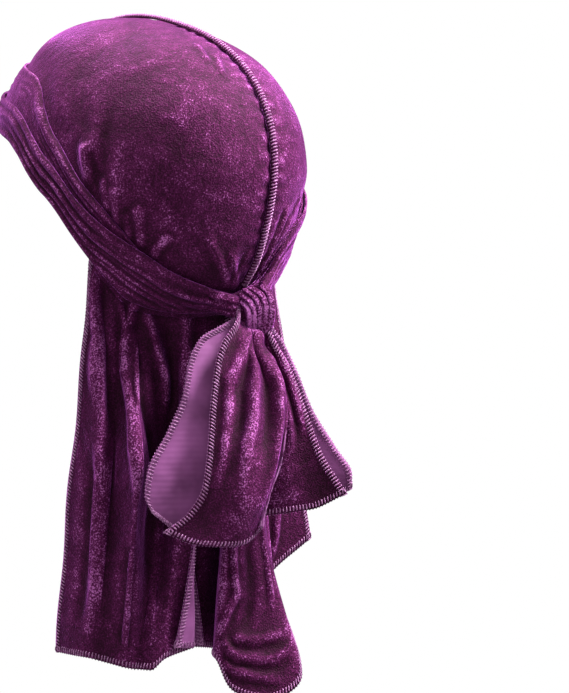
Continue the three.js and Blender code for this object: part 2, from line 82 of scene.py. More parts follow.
def on_form(turn, rise, lift):
    """Points on the egg: turn is 0 at the left and 90 at the back, rise a share of the half height."""
    turn, rise, lift = np.broadcast_arrays(np.asarray(turn, float), rise, lift)
    lift = lift - PRESS * under_straps(turn, rise)
    power = 2 / SQUARENESS
    c, s = np.cos(np.radians(turn)), np.sin(np.radians(turn))
    ring = np.maximum(0, 1 - np.abs(rise) ** SQUARENESS) ** (1 / SQUARENESS)
    length = np.where(s > 0, BACK_LENGTH, FRONT_LENGTH) + lift
    x = (HALF_WIDTH + lift) * ring * np.sign(c) * np.abs(c) ** power
    y = length * ring * np.sign(s) * np.abs(s) ** power
    return x, y, (HALF_HEIGHT + lift) * rise


# The camera
# It stands behind and to the left, 1.3 m away and just below the middle of the worn form.
# That middle shows left of the middle of the picture, so the camera is turned, not shifted.
PICTURE = (569, 693)
FORM_PIXEL = (141.1, 179.8)  # where the middle of the worn form shows
MM_PER_PIXEL = 0.6022  # at the middle of the worn form
CAMERA_DISTANCE = 1300.0
CAMERA_TURN = math.radians(44.5)
CAMERA_RISE = math.radians(-3.2)
SENSOR = 24.0         # height of the camera's frame

towards = Vector((
    math.cos(CAMERA_RISE) * math.cos(CAMERA_TURN),
    math.cos(CAMERA_RISE) * math.sin(CAMERA_TURN),
    math.sin(CAMERA_RISE),
))
rightward = Vector((-math.sin(CAMERA_TURN), math.cos(CAMERA_TURN), 0))
upright = towards.cross(rightward)
form_middle = Vector((0, 0, -SEAT))
aim = form_middle + MM_PER_PIXEL * (
    rightward * (PICTURE[0] / 2 - FORM_PIXEL[0]) - upright * (PICTURE[1] / 2 - FORM_PIXEL[1])
)
eye = form_middle + towards * CAMERA_DISTANCE

camera = bpy.data.objects.new("camera", bpy.data.cameras.new("camera"))
bpy.context.scene.collection.objects.link(camera)
camera.location = eye / 1000
camera.rotation_euler = (aim - eye).to_track_quat("-Z", "Y").to_euler()
camera.data.sensor_fit = "VERTICAL"
camera.data.sensor_height = SENSOR
camera.data.lens = CAMERA_DISTANCE / MM_PER_PIXEL / PICTURE[1] * SENSOR
camera.data.clip_end = 50
bpy.context.scene.camera = camera


# Crushed velvet
# Polyester velvet with a little stretch, knitted with a short cut pile that lies in all directions.
# It is nearly black plum where one looks into the pile and shines pink purple where one looks along it.
def linear(code):
    """An sRGB hex colour as linear RGBA."""
    parts = [int(code[i : i + 2], 16) / 255 for i in (1, 3, 5)]
    return [p / 12.92 if p <= 0.04045 else ((p + 0.055) / 1.055) ** 2.4 for p in parts] + [1.0]


def add_node(tree, kind, links=None, **settings):
    """Adds a node: settings name its properties or its inputs, links its inputs and what feeds them."""
    node = tree.nodes.new(kind)
    for name, value in settings.items():
        plain = name.replace("_", " ")
        if hasattr(node, name):
            setattr(node, name, value)
        else:
            node.inputs[plain].default_value = value
    for name, source in (links or {}).items():
        tree.links.new(source, node.inputs[name])
    return node


def new_material(name):
    material = bpy.data.materials.new(name)
    material.use_nodes = True
    material.node_tree.nodes.clear()
    return material, material.node_tree


def ramp(tree, source, stops):
    """A colour ramp with (place, hex colour) stops."""
    node = add_node(tree, "ShaderNodeValToRGB", {"Fac": source})
    band = node.color_ramp
    while len(band.elements) < len(stops):
        band.elements.new(0.5)
    for element, (place, code) in zip(band.elements, stops):
        element.position = place
        element.color = linear(code)
    return node.outputs["Color"]


PILE = 0.9            # mm; the real pile is 0.3 mm, too fine to show, so it is drawn this coarse
CRUSH = 24.0          # mm between patches where the pile lies another way
RUBBED = 6.0          # mm between smaller marks
RIDGE = "ridge"       # the mesh attribute that tells how far a point stands out from the cloth near it; the velvet paints a highlight where it is high and shade where it is low
RIDGE_PAINT_STRENGTH = 0.10    # how strongly the ridge values paint a highlight on ridges and shade in valleys


def velvet(name, deep, body, bright, glint, sheen):
    material, tree = new_material(name)
    place = add_node(tree, "ShaderNodeTexCoord").outputs["Object"]
    pile = add_node(
        tree, "ShaderNodeTexNoise", {"Vector": place}, Scale=1000 / PILE, Detail=1.0, Roughness=0.6
    )
    crush = add_node(
        tree, "ShaderNodeTexNoise", {"Vector": place}, Scale=1000 / CRUSH, Detail=2.0, Distortion=1.0
    )
    rubbed = add_node(
        tree, "ShaderNodeTexNoise", {"Vector": place}, Scale=1000 / RUBBED, Detail=2.0, Distortion=0.6
    )
    lie = add_node(
        tree, "ShaderNodeMix", {"A": rubbed.outputs["Fac"], "B": crush.outputs["Fac"]}, Factor=0.6
    )
    share = add_node(
        tree, "ShaderNodeMix", {"A": lie.outputs[0], "B": pile.outputs["Fac"]}, Factor=0.55
    )
    ridge = add_node(tree, "ShaderNodeAttribute", attribute_name=RIDGE)
    painted_ridge_light = add_node(
        tree, "ShaderNodeMath", {0: ridge.outputs["Fac"], 2: share.outputs[0]}, operation="MULTIPLY_ADD"
    )
    painted_ridge_light.inputs[1].default_value = RIDGE_PAINT_STRENGTH
    # Painted highlight and painted shade: ridge values lift ridges towards the bright and glint colours
    # and push valleys towards the deep one; the glint colour is a painted highlight that ridges and a
    # few pile specks reach
    colour = ramp(tree, painted_ridge_light.outputs[0], [(0.34, deep), (0.50, body), (0.63, bright), (0.74, glint)])
    fine = add_node(
        tree, "ShaderNodeBump", {"Height": pile.outputs["Fac"]}, Strength=0.8, Distance=0.0007
    )
    broad = add_node(
        tree, "ShaderNodeBump", {"Height": lie.outputs[0], "Normal": fine.outputs[0]},
        Strength=0.5, Distance=0.003,
    )
    shader = add_node(
        tree, "ShaderNodeBsdfPrincipled", {"Base Color": colour, "Normal": broad.outputs[0]},
        Roughness=0.7, Specular_IOR_Level=0.08,
        Sheen_Weight=1.0, Sheen_Roughness=0.28, Sheen_Tint=linear(sheen),
    )
    add_node(tree, "ShaderNodeOutputMaterial", {"Surface": shader.outputs[0]})
    return material


velvet_face = velvet("crushed_velvet", "#2a0a1e", "#431036", "#661f56", "#cb74c4", "#d66ade")


# Back of the velvet
# The knitted ground of the cloth, without pile: smoother, lighter and matt, in fine knitted ribs.
# It shows inside the strap ends and the tail, where the cloth turns over.
RIB = 3.167           # mm; the real ribs are 0.5 mm apart, too fine to show, so drawn this coarse
WAVE = math.pi / 10   # the length of one band of a wave texture at scale 1


def knit_back(name, body, light):
    material, tree = new_material(name)
    place = add_node(tree, "ShaderNodeTexCoord").outputs["Object"]
    ribs = add_node(
        tree, "ShaderNodeTexWave", {"Vector": place}, bands_direction="Z",
        Scale=1000 * WAVE / RIB, Distortion=1.0,
    )
    cloudy = add_node(tree, "ShaderNodeTexNoise", {"Vector": place}, Scale=1000 / CRUSH, Detail=3.0)
    colour = ramp(tree, cloudy.outputs["Fac"], [(0.35, body), (0.65, light)])
    relief = add_node(
        tree, "ShaderNodeBump", {"Height": ribs.outputs["Fac"]}, Strength=0.12, Distance=0.0004
    )
    shader = add_node(
        tree, "ShaderNodeBsdfPrincipled", {"Base Color": colour, "Normal": relief.outputs[0]},
        Roughness=0.7, Specular_IOR_Level=0.35,
        Sheen_Weight=0.35, Sheen_Roughness=0.5, Sheen_Tint=linear("#d9a0dc"),
    )
    add_node(tree, "ShaderNodeOutputMaterial", {"Surface": shader.outputs[0]})
    return material


velvet_back = knit_back("velvet_knit_back", "#71356a", "#a45a9c")


# The two halves of the cap
# Each is one curved panel of velvet, cut from the front edge to the back and stretched in wear.
# They are sewn to each other along the middle, and their rims lie under the straps.
def table(names, rows):
    """A table with named columns, as one array for each column."""
    return dict(zip(names.split(), np.array(rows, float).T))


def hermite(a, b, p, q, t):
    """A smooth run from a to b, with slope p where it starts and q where it ends."""
    return a + t * (p + t * (3 * (b - a) - 2 * p - q + t * (p + q - 2 * (b - a))))


def column(rows, key, name, period=0):
    """Reads one column at any place between its rows, as a smooth line without overshoot."""
    place, value = rows[key], rows[name]
    if period:
        place = np.concatenate([place - period, place, place + period])
        value = np.tile(value, 3)
    step = np.diff(value) / np.diff(place)
    slope = np.concatenate([step[:1], np.zeros(len(step) - 1), step[-1:]])
    same = step[:-1] * step[1:] > 0
    total = np.where(same, step[:-1] + step[1:], 1)
    slope[1:-1] = np.where(same, 2 * step[:-1] * step[1:] / total, 0)

    def read(at):
        at = np.asarray(at, float)
        if period:
            at = rows[key][0] + np.mod(at - rows[key][0], period)
        at = np.clip(at, place[0], place[-1])
        i = np.clip(np.searchsorted(place, at, "right") - 1, 0, len(place) - 2)
        span = place[i + 1] - place[i]
        t = (at - place[i]) / span
        return hermite(value[i], value[i + 1], slope[i] * span, slope[i + 1] * span, t)

    return read


def blend(a, b, share):
    return a + (b - a) * share


def ease(x, low, high):
    t = np.clip((x - low) / (high - low), 0, 1)
    return t * t * (3 - 2 * t)


def wander(points, size, seed, waves=9):
    """Smooth unevenness from -1 to 1 over points, with features of about the given size."""
    rng = np.random.default_rng(seed)
    total = 0
    for _ in range(waves):
        way = rng.normal(size=points.shape[-1])
        way *= rng.uniform(0.6, 1.4) / np.linalg.norm(way)
        total = total + np.sin(points @ way * (2 * math.pi / size) + rng.uniform(0, 2 * math.pi))
    return total / math.sqrt(waves) * 0.8


# The two straps all the way round, by turn in degrees: 0 left, 90 back, 180 right, 270 front.
# Edges are shares of the half height, pleat is how strongly the folds of the wraps stand up.
WRAPS = table("turn under_top over_top over_low pleat", [
    (-90, 0.54, 0.33, 0.11, 0.15),
    (-50, 0.54, 0.32, 0.12, 0.15),
    (-24, 0.53, 0.31, 0.10, 0.25),
    (-15, 0.48, 0.27, 0.05, 0.45),
    (-7, 0.36, 0.19, -0.04, 0.75),
    (4, 0.16, 0.04, -0.18, 0.90),
    (12, 0.03, -0.07, -0.30, 0.75),
    (21, -0.07, -0.155, -0.42, 0.50),
    (31, -0.18, -0.22, -0.53, 0.35),
    (41, -0.29, -0.27, -0.61, 0.30),
    (55, -0.41, -0.35, -0.63, 0.25),
    (70, -0.46, -0.40, -0.62, 0.25),
    (84, -0.50, -0.44, -0.59, 0.30),
    (93, -0.40, -0.36, -0.57, 0.50),
    (100, -0.16, -0.12, -0.55, 0.60),
    (110, -0.01, 0.02, -0.50, 0.30),
    (127, 0.10, 0.12, -0.38, 0.20),
    (150, 0.22, 0.20, -0.20, 0.25),
    (176, 0.33, 0.22, -0.04, 0.50),
    (204, 0.52, 0.32, 0.09, 0.40),
    (235, 0.54, 0.33, 0.12, 0.15),
])
under_top = column(WRAPS, "turn", "under_top", 360)
over_top = column(WRAPS, "turn", "over_top", 360)
over_low = column(WRAPS, "turn", "over_low", 360)
pleat = column(WRAPS, "turn", "pleat", 360)


def under_straps(turn, rise):
    """1 where the straps lie on the cap, falling off to 0 a little above them."""
    edge = np.maximum(under_top(turn), over_top(turn))
    return ease(edge - rise, -PRESS_FADE, 0.0)


RIM = 0.45            # how far down the second strap the cap's rim lies under it


def rim(turn):
    return blend(over_top(turn), over_low(turn), RIM)


# Soft folds of the cap: where they lie, how far they run and how high they stand, as a share of FOLD
CAP_FOLDS = [
    dict(turn=14, rise=0.20, run=0.24, spread=3.2, lean=8, height=0.6),
    dict(turn=19, rise=0.16, run=0.24, spread=3.0, lean=8, height=-0.5),
    dict(turn=28, rise=0.00, run=0.20, spread=4.0, lean=4, height=0.4),
    dict(turn=37, rise=-0.05, run=0.20, spread=4.0, lean=3, height=0.35),
    dict(turn=79, rise=-0.30, run=0.12, spread=2.4, lean=-12, height=0.4),
    dict(turn=84, rise=-0.28, run=0.12, spread=2.0, lean=-12, height=-0.4),
    dict(turn=152, rise=0.42, run=0.20, spread=4.0, lean=-6, height=0.4),
    dict(turn=166, rise=0.40, run=0.20, spread=4.0, lean=-6, height=0.4),
]
# Creases of the cap: height and width in mm, then turn and rise along each
CAP_CREASES = [
    (3.2, 3.4, [(10, 0.27), (12.5, 0.14), (16, 0.02)]),
    (-1.7, 2.6, [(13, 0.24), (16.5, 0.12), (19.5, 0.0)]),
    (2.0, 3.0, [(24.5, 0.07), (26.5, -0.045), (30.5, -0.19)]),
    (2.3, 3.0, [(35, 0.0), (37.5, -0.12), (41, -0.28)]),
    (1.9, 2.8, [(50, -0.12), (46, -0.24), (45.5, -0.35)]),
    (1.6, 2.4, [(19, 0.1), (22, 0.0), (25, -0.12)]),
    (1.4, 2.4, [(31, -0.06), (33, -0.15), (35, -0.25)]),
    (2.2, 3.0, [(64, -0.08), (75, -0.265), (86, -0.435)]),
    (1.9, 2.4, [(76, -0.15), (84, -0.32), (88.5, -0.45)]),
    (1.6, 2.2, [(57, 0.95), (61, 0.90), (63, 0.86)]),
    (1.6, 2.2, [(72.5, 0.92), (71, 0.87), (70, 0.80)]),
    (1.7, 2.0, [(101, 0.165), (96, -0.12), (93.2, -0.42)]),
    (1.7, 2.0, [(106, 0.10), (100, -0.13), (94, -0.42)]),
    (1.4, 1.8, [(113, 0.20), (108, 0.08), (101, -0.12)]),
    (-1.3, 2.0, [(98.5, 0.14), (94.5, -0.13), (92.4, -0.42)]),
]
PUCKER = 0.5          # mm, height of the puckers that the seam's thread draws up
PUCKER_PITCH = 9.0    # mm from one to the next
PUCKER_START = 2.2    # mm from the seam to where they start
PUCKER_REACH = 9.0    # mm from the seam to where they fade
CROWN_RADIUS = 95     # mm, about that of the seam's line, to measure along it
DIP = 0.9             # mm that the seam draws the cloth in
DIP_WIDTH = 4.0
SWELL = 0.35          # mm, height of the soft unevenness of stretched cloth
SWELL_SIZE = 45       # mm from one swell to the next


def cap_relief(turn, rise):
    edge = np.maximum(under_top(turn), over_top(turn))
    free = ease(rise, edge + 0.03, edge + 0.16) * ease(-rise, -0.9, -0.6)
    off_seam = ease(np.abs(turn - 90), 2, 7)
    total = 0
    for f in CAP_FOLDS:
        along = (rise - f["rise"]) / f["run"]
        aside = (turn - f["turn"] - f["lean"] * (f["rise"] - rise)) / f["spread"]
        total = total + f["height"] * np.exp(-along * along - aside * aside)
    x, y, z = on_form(turn, rise, 0.0)
    beside = np.abs(x)
    near_seam = np.exp(-((beside / PUCKER_REACH) ** 2)) * (1 - np.exp(-((beside / PUCKER_START) ** 2)))
    round_seam = np.arctan2(z, y) * CROWN_RADIUS
    place = np.stack([x, y, z], -1)
    puckers = np.sin(2 * math.pi * (round_seam + 3 * wander(place, 40, 3)) / PUCKER_PITCH)
    above = ease(rise, edge + 0.01, edge + 0.08)
    return (
        FOLD * total * free * off_seam
        + PUCKER * puckers * near_seam * above
        + SWELL * wander(place, SWELL_SIZE, 1) * above
        - DIP * np.exp(-((beside / DIP_WIDTH) ** 2)) * above
        + creases(place, form_lines(CAP_CREASES)) * ease(rise, edge - 0.02, edge + 0.02)
    )


def form_lines(rows):
    """The lines of creases on the worn form, with points for turns and rises."""
    lines = []
    for height, width, path in rows:
        turn, rise = np.array(path).T
        lines.append((height, width, np.stack(on_form(turn, rise, 0.0), -1), False))
    return lines


FADE = 0.3            # the share of a crease over which its end fades out
EARLY = 1.6           # how many times as fast it rises at its start
OPEN = 0.15           # the share that an open start is taken to have run already


def creases(points, lines):
    """Heights of sharp folds over a grid of points; lines are (height, width, path, open start)."""
    total = np.zeros(points.shape[:-1])
    for height, width, path, open_start in lines:
        nearest = np.full(total.shape, np.inf)
        share = np.zeros(total.shape)
        for n, (a, b) in enumerate(zip(path[:-1], path[1:])):
            t = np.clip((points - a) @ (b - a) / ((b - a) @ (b - a)), 0, 1)
            gap = np.linalg.norm(points - a - t[..., None] * (b - a), axis=-1)
            share = np.where(gap < nearest, (n + t) / (len(path) - 1), share)
            nearest = np.minimum(gap, nearest)
        fading = ease(np.minimum(OPEN * open_start + EARLY * share, 1 - share), 0.0, FADE)
        total += height * fading * np.exp(-((nearest / width) ** 2))
    return total


# Ridges are found at two sizes: mm around a point that count, mm of height for a full ridge, and share
RIDGE_SIZES = table("reach height share", [
    (4.0, 1.1, 0.50),
    (1.3, 0.18, 0.60),
])
MOST_PASSES = 120     # of smoothing, which is enough for the coarse size on the finest grid


def ridges(outer, inner, loop):
    """How far each point of a sheet stands out, below 0 in a valley and above 0 on a ridge."""
    normal = outer - inner
    normal = normal / (np.linalg.norm(normal, axis=-1, keepdims=True) + 1e-9)
    total = 0
    for reach, height, share in zip(*RIDGE_SIZES.values()):
        smooth = outer
        for axis in (0, 1):
            step = np.median(np.linalg.norm(np.diff(outer, axis=axis), axis=-1))
            padding = [(1, 1) if n == axis else (0, 0) for n in range(3)]
            for _ in range(min(int(2 * (reach / step) ** 2) + 1, MOST_PASSES)):
                wide = np.pad(smooth, padding, mode="wrap" if loop and axis == 0 else "edge")
                before, after = (np.take(wide, range(k, k + outer.shape[axis]), axis) for k in (0, 2))
                smooth = 0.5 * smooth + 0.25 * (before + after)
        total = total + share * np.clip(np.einsum("...i,...i", outer - smooth, normal) / height, -1, 1)
    return total


def mark_ridges(made, values):
    attribute = made.data.attributes.new(RIDGE, "FLOAT", "POINT")
    attribute.data.foreach_set("value", np.asarray(values, float).ravel())


def make_mesh(name, points, faces, materials, slots=None):
    """A mesh object from points in millimetres and quads or triangles."""
    mesh = bpy.data.meshes.new(name)
    mesh.from_pydata((np.asarray(points) / 1000).tolist(), [], [tuple(f) for f in faces])
    for material in materials:
        mesh.materials.append(material)
    if slots is not None:
        mesh.polygons.foreach_set("material_index", np.asarray(slots, np.int32))
    mesh.polygons.foreach_set("use_smooth", np.full(len(mesh.polygons), True))
    mesh.validate()
    mesh.update()
    made = bpy.data.objects.new(name, mesh)
    bpy.context.scene.collection.objects.link(made)
    return made


def grid_of(shape, loop):
    """Point numbers of a grid, where a loop repeats its first row at the end."""
    numbers = np.arange(shape[0] * shape[1]).reshape(shape[:2])
    return np.concatenate([numbers, numbers[:1]]) if loop else numbers


def quads(grid):
    corners = grid[:-1, :-1], grid[1:, :-1], grid[1:, 1:], grid[:-1, 1:]
    return np.stack(corners, -1).reshape(-1, 4)


def cloth_between(name, inner, outer, loop=False, painted_shine=0.0):
    """A closed sheet of cloth between two grids: velvet outside and on the edges, its back inside."""
    points = np.concatenate([outer.reshape(-1, 3), inner.reshape(-1, 3)])
    count = len(points) // 2
    grid = grid_of(outer.shape, loop)

    def edge(line, near, far):
        a, b = line[:-1], line[1:]
        return np.stack([a + near, b + near, b + far, a + far], 1)

    face = quads(grid)
    back = face[:, [0, 3, 2, 1]] + count
    edges = [edge(grid[:, 0], count, 0), edge(grid[:, -1], 0, count)]
    if not loop:
        edges += [edge(grid[0], 0, count), edge(grid[-1], count, 0)]
    faces = np.concatenate([face, back, *edges])
    slots = np.zeros(len(faces), int)
    slots[len(face) : len(face) + len(back)] = 1
    a, b, c, d = (points[face[:, n]] for n in range(4))
    outward = a - points[face[:, 0] + count]
    if (np.cross(c - a, d - b) * outward).sum() < 0:
        faces = faces[:, ::-1]
    made = make_mesh(name, points, faces.tolist(), [velvet_face, velvet_back], slots)
    # Ridge values, with any painted highlight added; the velvet paints highlight and shade from them
    ridge_light = ridges(outer, inner, loop) + painted_shine
    mark_ridges(made, np.concatenate([ridge_light.ravel(), ridge_light.ravel()]))
    weld(made)
    return made


SAME_POINT = 2e-6     # metres


def weld(made):
    """Joins points that lie on each other, such as a grid's points at the crown."""
    work = bmesh.new()
    work.from_mesh(made.data)
    bmesh.ops.remove_doubles(work, verts=work.verts, dist=SAME_POINT)
    bmesh.ops.dissolve_degenerate(work, edges=work.edges, dist=SAME_POINT / 2)
    work.to_mesh(made.data)
    work.free()
    made.data.polygons.foreach_set("use_smooth", np.full(len(made.data.polygons), True))


HALF_GAP = 0.04       # mm between the two halves, which are sewn edge to edge
CAP_GRID = (240, 110)  # points from front to back, and from the rim to the crown


def cap_half(name, side):
    turns = blend(-90.0 if side > 0 else 270.0, 90.0, np.linspace(0, 1, CAP_GRID[0]))[:, None]
    edge = rim(turns)
    start = np.sign(edge) * np.arcsin(np.abs(edge) ** (SQUARENESS / 2))
    angle = blend(start, math.pi / 2, np.linspace(0, 1, CAP_GRID[1])[None, :])
    rise = np.sign(angle) * np.abs(np.sin(angle)) ** (2 / SQUARENESS)
    turn = np.broadcast_to(turns, rise.shape)
    relief = cap_relief(turn, rise)

    def layer(depth):
        x, y, z = on_form(turn, rise, relief - depth)
        return tipped(side * np.maximum(side * x, HALF_GAP / 2), y, z)

    return cloth_between(name, layer(CLOTH), layer(0))


cap_left = cap_half("cap_left", 1)
cap_right = cap_half("cap_right", -1)
for panel, node in ((cap_left, "cap_left_panel"), (cap_right, "cap_right_panel")):
    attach(panel, "root")
    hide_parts(node)


# The centre seam
# The two edges are overlocked together on the outside: a raised ridge about 5 mm wide,
# wrapped in soft thread whose stitches run across it like the rungs of a ladder.
SEAM_WIDTH = 4.8
SEAM_HEIGHT = 2.0
SEAM_FOOT = 0.2       # height of the ridge at its two edges
SEAM_POINTS = 500     # along it
SEAM_FRONT = math.radians(0.6)  # how far above the straps it ends at the front
SEAM_BACK = math.radians(0.4)   # and at the back
STITCH_PITCH = 1.9    # mm; the real stitches are 1.2 mm apart, drawn coarser so that they show
STITCH_LEAN = 1.3     # points of the seam that a stitch leans to each side
STITCH_RISE = 0.5     # how far the stitches stand above the ridge
THREAD_RADIUS = 0.42
TUFT = 1.111          # mm from one tuft of the fluffy thread to the next


def thread_material(name, deep, body):
    material, tree = new_material(name)
    place = add_node(tree, "ShaderNodeTexCoord").outputs["Object"]
    fluff = add_node(tree, "ShaderNodeTexNoise", {"Vector": place}, Scale=1000 / TUFT, Detail=3.0)
    colour = ramp(tree, fluff.outputs["Fac"], [(0.35, deep), (0.65, body)])
    relief = add_node(
        tree, "ShaderNodeBump", {"Height": fluff.outputs["Fac"]}, Strength=0.3, Distance=0.0003
    )
    shader = add_node(
        tree, "ShaderNodeBsdfPrincipled", {"Base Color": colour, "Normal": relief.outputs[0]},
        Roughness=0.75, Sheen_Weight=0.6, Sheen_Roughness=0.4, Sheen_Tint=linear("#d58bd6"),
    )
    add_node(tree, "ShaderNodeOutputMaterial", {"Surface": shader.outputs[0]})
    return material


# Spun polyester, soft and a little fluffy, so that it looks lighter and duller than the pile
thread = thread_material("overlock_thread", "#6a2d60", "#c085b8")


def tube_faces(steps, sides):
    """Faces of a closed tube whose points go round ring by ring, with its two flat ends."""
    faces = []
    for a in range(steps - 1):
        for s in range(sides):
            t = (s + 1) % sides
            faces.append((a * sides + s, a * sides + t, (a + 1) * sides + t, (a + 1) * sides + s))
    ends = tuple(range(sides))[::-1], tuple((steps - 1) * sides + s for s in range(sides))
    return faces + list(ends)


THREAD_SIDES = 5
THREAD_END = 0.55     # how thick a thread's ends are, where 1 is its full thickness
SLANT = np.array([0.31, 0.52, 0.79])  # a direction that no thread runs along


def threads(paths):
    """Points and faces of many short threads along paths of equal length, shape (n, m, 3)."""
    n, m = paths.shape[:2]
    along = np.gradient(paths, axis=1)
    along /= np.linalg.norm(along, axis=-1, keepdims=True) + 1e-9
    other = np.cross(along, SLANT)
    other /= np.linalg.norm(other, axis=-1, keepdims=True) + 1e-9
    third = np.cross(along, other)
    turn = np.arange(THREAD_SIDES) * 2 * math.pi / THREAD_SIDES
    girth = np.ones(m)
    girth[[0, -1]] = THREAD_END
    ring = np.cos(turn)[:, None] * other[:, :, None, :] + np.sin(turn)[:, None] * third[:, :, None, :]
    points = paths[:, :, None, :] + THREAD_RADIUS * girth[None, :, None, None] * ring
    size, faces = m * THREAD_SIDES, tube_faces(m, THREAD_SIDES)
    return points.reshape(-1, 3), [tuple(v + k * size for v in f) for k in range(n) for f in faces]


def resampled(path, pitch):
    """Row numbers of places that lie evenly along a path."""
    length = np.concatenate([[0], np.cumsum(np.linalg.norm(np.diff(path, axis=0), axis=1))])
    count = max(int(length[-1] / pitch), 2)
    return np.interp(np.linspace(0, length[-1], count), length, np.arange(len(path)))


def at_rows(values, rows):
    low = np.clip(np.floor(rows).astype(int), 0, len(values) - 2)
    share = (rows - low)[:, None]
    return values[low] * (1 - share) + values[low + 1] * share


def centre_seam():
    front = math.asin(float(under_top(270)) ** (SQUARENESS / 2)) + SEAM_FRONT
    back = math.pi + math.asin(abs(float(over_top(90))) ** (SQUARENESS / 2)) - SEAM_BACK
    angle = np.linspace(front, back, SEAM_POINTS)
    rise = np.sign(np.sin(angle)) * np.abs(np.sin(angle)) ** (2 / SQUARENESS)
    turn = np.where(angle < math.pi / 2, -90.0, 90.0)

    def line(aside, lift):
        _, y, z = on_form(turn, rise, lift)
        return tipped(np.full_like(y, aside), y, z)

    around = np.linspace(0, 1, 9)
    roof = CLEARANCE + SEAM_FOOT + (SEAM_HEIGHT - STITCH_RISE) * np.sin(math.pi * around) ** 0.7
    asides = blend(-SEAM_WIDTH / 2, SEAM_WIDTH / 2, around)
    top = np.stack([line(aside, height) for aside, height in zip(asides, roof)])
    floor = np.stack([line(aside, 0.0) for aside in asides])
    core = cloth_between("seam_ridge", floor, top)
    rows = resampled(line(0, SEAM_HEIGHT), STITCH_PITCH)
    paths = []
    for s in np.linspace(-1, 1, 7):
        lean = np.clip(rows + s * STITCH_LEAN, 0, SEAM_POINTS - 2)
        height = CLEARANCE + SEAM_HEIGHT * (1 - 0.75 * abs(s) ** 2.5)
        paths.append(at_rows(line(s * SEAM_WIDTH / 2, height), lean))
    points, faces = threads(np.stack(paths, 1))
    rungs = make_mesh("seam_stitches", points, faces, [thread])
    return core, rungs


seam_ridge, seam_stitches = centre_seam()
for piece, slot in ((seam_ridge, "velvet"), (seam_stitches, "thread")):
    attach(piece, "root")
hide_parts("centre_seam")


# The two strap wraps
# Each long velvet strap runs from the knot round the front and back to the knot, pleated as it is
# pulled tight. The first lies on the cap, and the second lies lower and half over it.
TUCK = 6.0            # mm that the first strap runs on under the second
LAYER = CLEARANCE + CLOTH / 2
SECOND_LAYER = LAYER + CLOTH + CLEARANCE
# How high the pleats stand across a strap, from its upper edge to its lower one
OVER_PROFILE = table("across lift", [
    (0.00, 0.55), (0.09, 1.00), (0.24, 0.15), (0.38, 0.80), (0.52, 0.10),
    (0.66, 0.70), (0.80, 0.10), (0.91, 0.45), (1.00, 0.00),
])
UNDER_PROFILE = table("across lift", [
    (0.00, 0.10), (0.22, 1.00), (0.48, 0.25), (0.70, 0.00), (1.00, 0.00),
])
# Folds of the straps that run together into the knot: height, width, then turn and rise
KNOT_FAN = [
    (1.4, 2.0, [(58, -0.47), (74, -0.485), (86, -0.49)]),
    (1.2, 1.8, [(64, -0.54), (76, -0.53), (87, -0.51)]),
    (1.6, 2.0, [(93, -0.43), (98, -0.30), (106, -0.14)]),
    (1.5, 1.9, [(94, -0.46), (101, -0.36), (112, -0.20)]),
    (1.4, 1.9, [(94.5, -0.49), (104, -0.42), (118, -0.28)]),
    (1.2, 1.9, [(95, -0.52), (104, -0.49), (117, -0.38)]),
]
WRAP_POINTS = 420     # all the way round
CREASE = 0.42         # mm, height of the fine creases that run along a strap
CREASE_PITCH = 4.2    # mm from one to the next
EDGE_SHINE = 0.9      # how strong the painted highlight along the folded upper edge of a strap is, in ridge values
EDGE_WIDTH = 0.8      # mm that this edge is wide
tuck = TUCK / HALF_HEIGHT


def under_low(turn):
    return over_top(turn) - tuck


def under_high(turn):
    return np.maximum(under_top(turn), under_low(turn) + 0.5 * tuck)


def under_strength(turn):
    shown = ease(under_top(turn) - over_top(turn), 0.01, 0.07)
    return pleat(turn) * shown * blend(1, 0.45, ease(under_top(turn), 0.40, 0.54))


def under_base(turn, across):
    return LAYER + 0 * turn


def over_base(turn, across):
    depth = across * (over_top(turn) - over_low(turn))
    return blend(SECOND_LAYER + 0.3, LAYER, ease(depth, tuck * 1.2, tuck * 2.4))


def wrap(name, top, low, profile, base, strength, rows, seed):
    lift = column(profile, "across", "lift")
    turn = np.linspace(-90, 270, WRAP_POINTS + 1)[:-1][:, None]
    across = np.linspace(0, 1, rows)[None, :]
    rise = blend(top(turn), low(turn), across)
    turn = np.broadcast_to(turn, rise.shape)
    x, y, z = on_form(turn, rise, 0)
    place = np.stack([x, y, z], -1)
    shifted = np.clip(across + 0.05 * wander(place, 60, seed) * np.sin(math.pi * across), 0, 1)
    width = (top(turn) - low(turn)) * HALF_HEIGHT
    inside = np.sin(math.pi * across) ** 0.5
    lines = np.sin(2 * math.pi * (shifted * width / CREASE_PITCH + 0.4 * wander(place, 35, seed + 1)))
    fine = CREASE * lines * inside * (0.5 + 0.5 * wander(place, 30, seed + 2))
    fan = creases(place, form_lines(KNOT_FAN)) * inside
    height = base(turn, across) + FOLD * strength(turn) * lift(shifted) + fine + fan

    def layer(side):
        return tipped(*on_form(turn, rise, height + side * CLOTH / 2))

    # A painted highlight along the strap's folded upper edge
    edge_shine = EDGE_SHINE * np.exp(-((across * width / EDGE_WIDTH) ** 2))
    return cloth_between(name, layer(-1), layer(1), loop=True, painted_shine=edge_shine)


under_wrap = wrap(
    "under_wrap", under_high, under_low, UNDER_PROFILE, under_base, under_strength, rows=26, seed=11
)
over_wrap = wrap("over_wrap", over_top, over_low, OVER_PROFILE, over_base, pleat, rows=56, seed=21)
for strap, node, width, area in (
    (under_wrap, "strap_under_wrap", 0.030, 0.0105),
    (over_wrap, "strap_over_wrap", 0.045, 0.0165),
):
    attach(strap, "root")
    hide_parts(node)


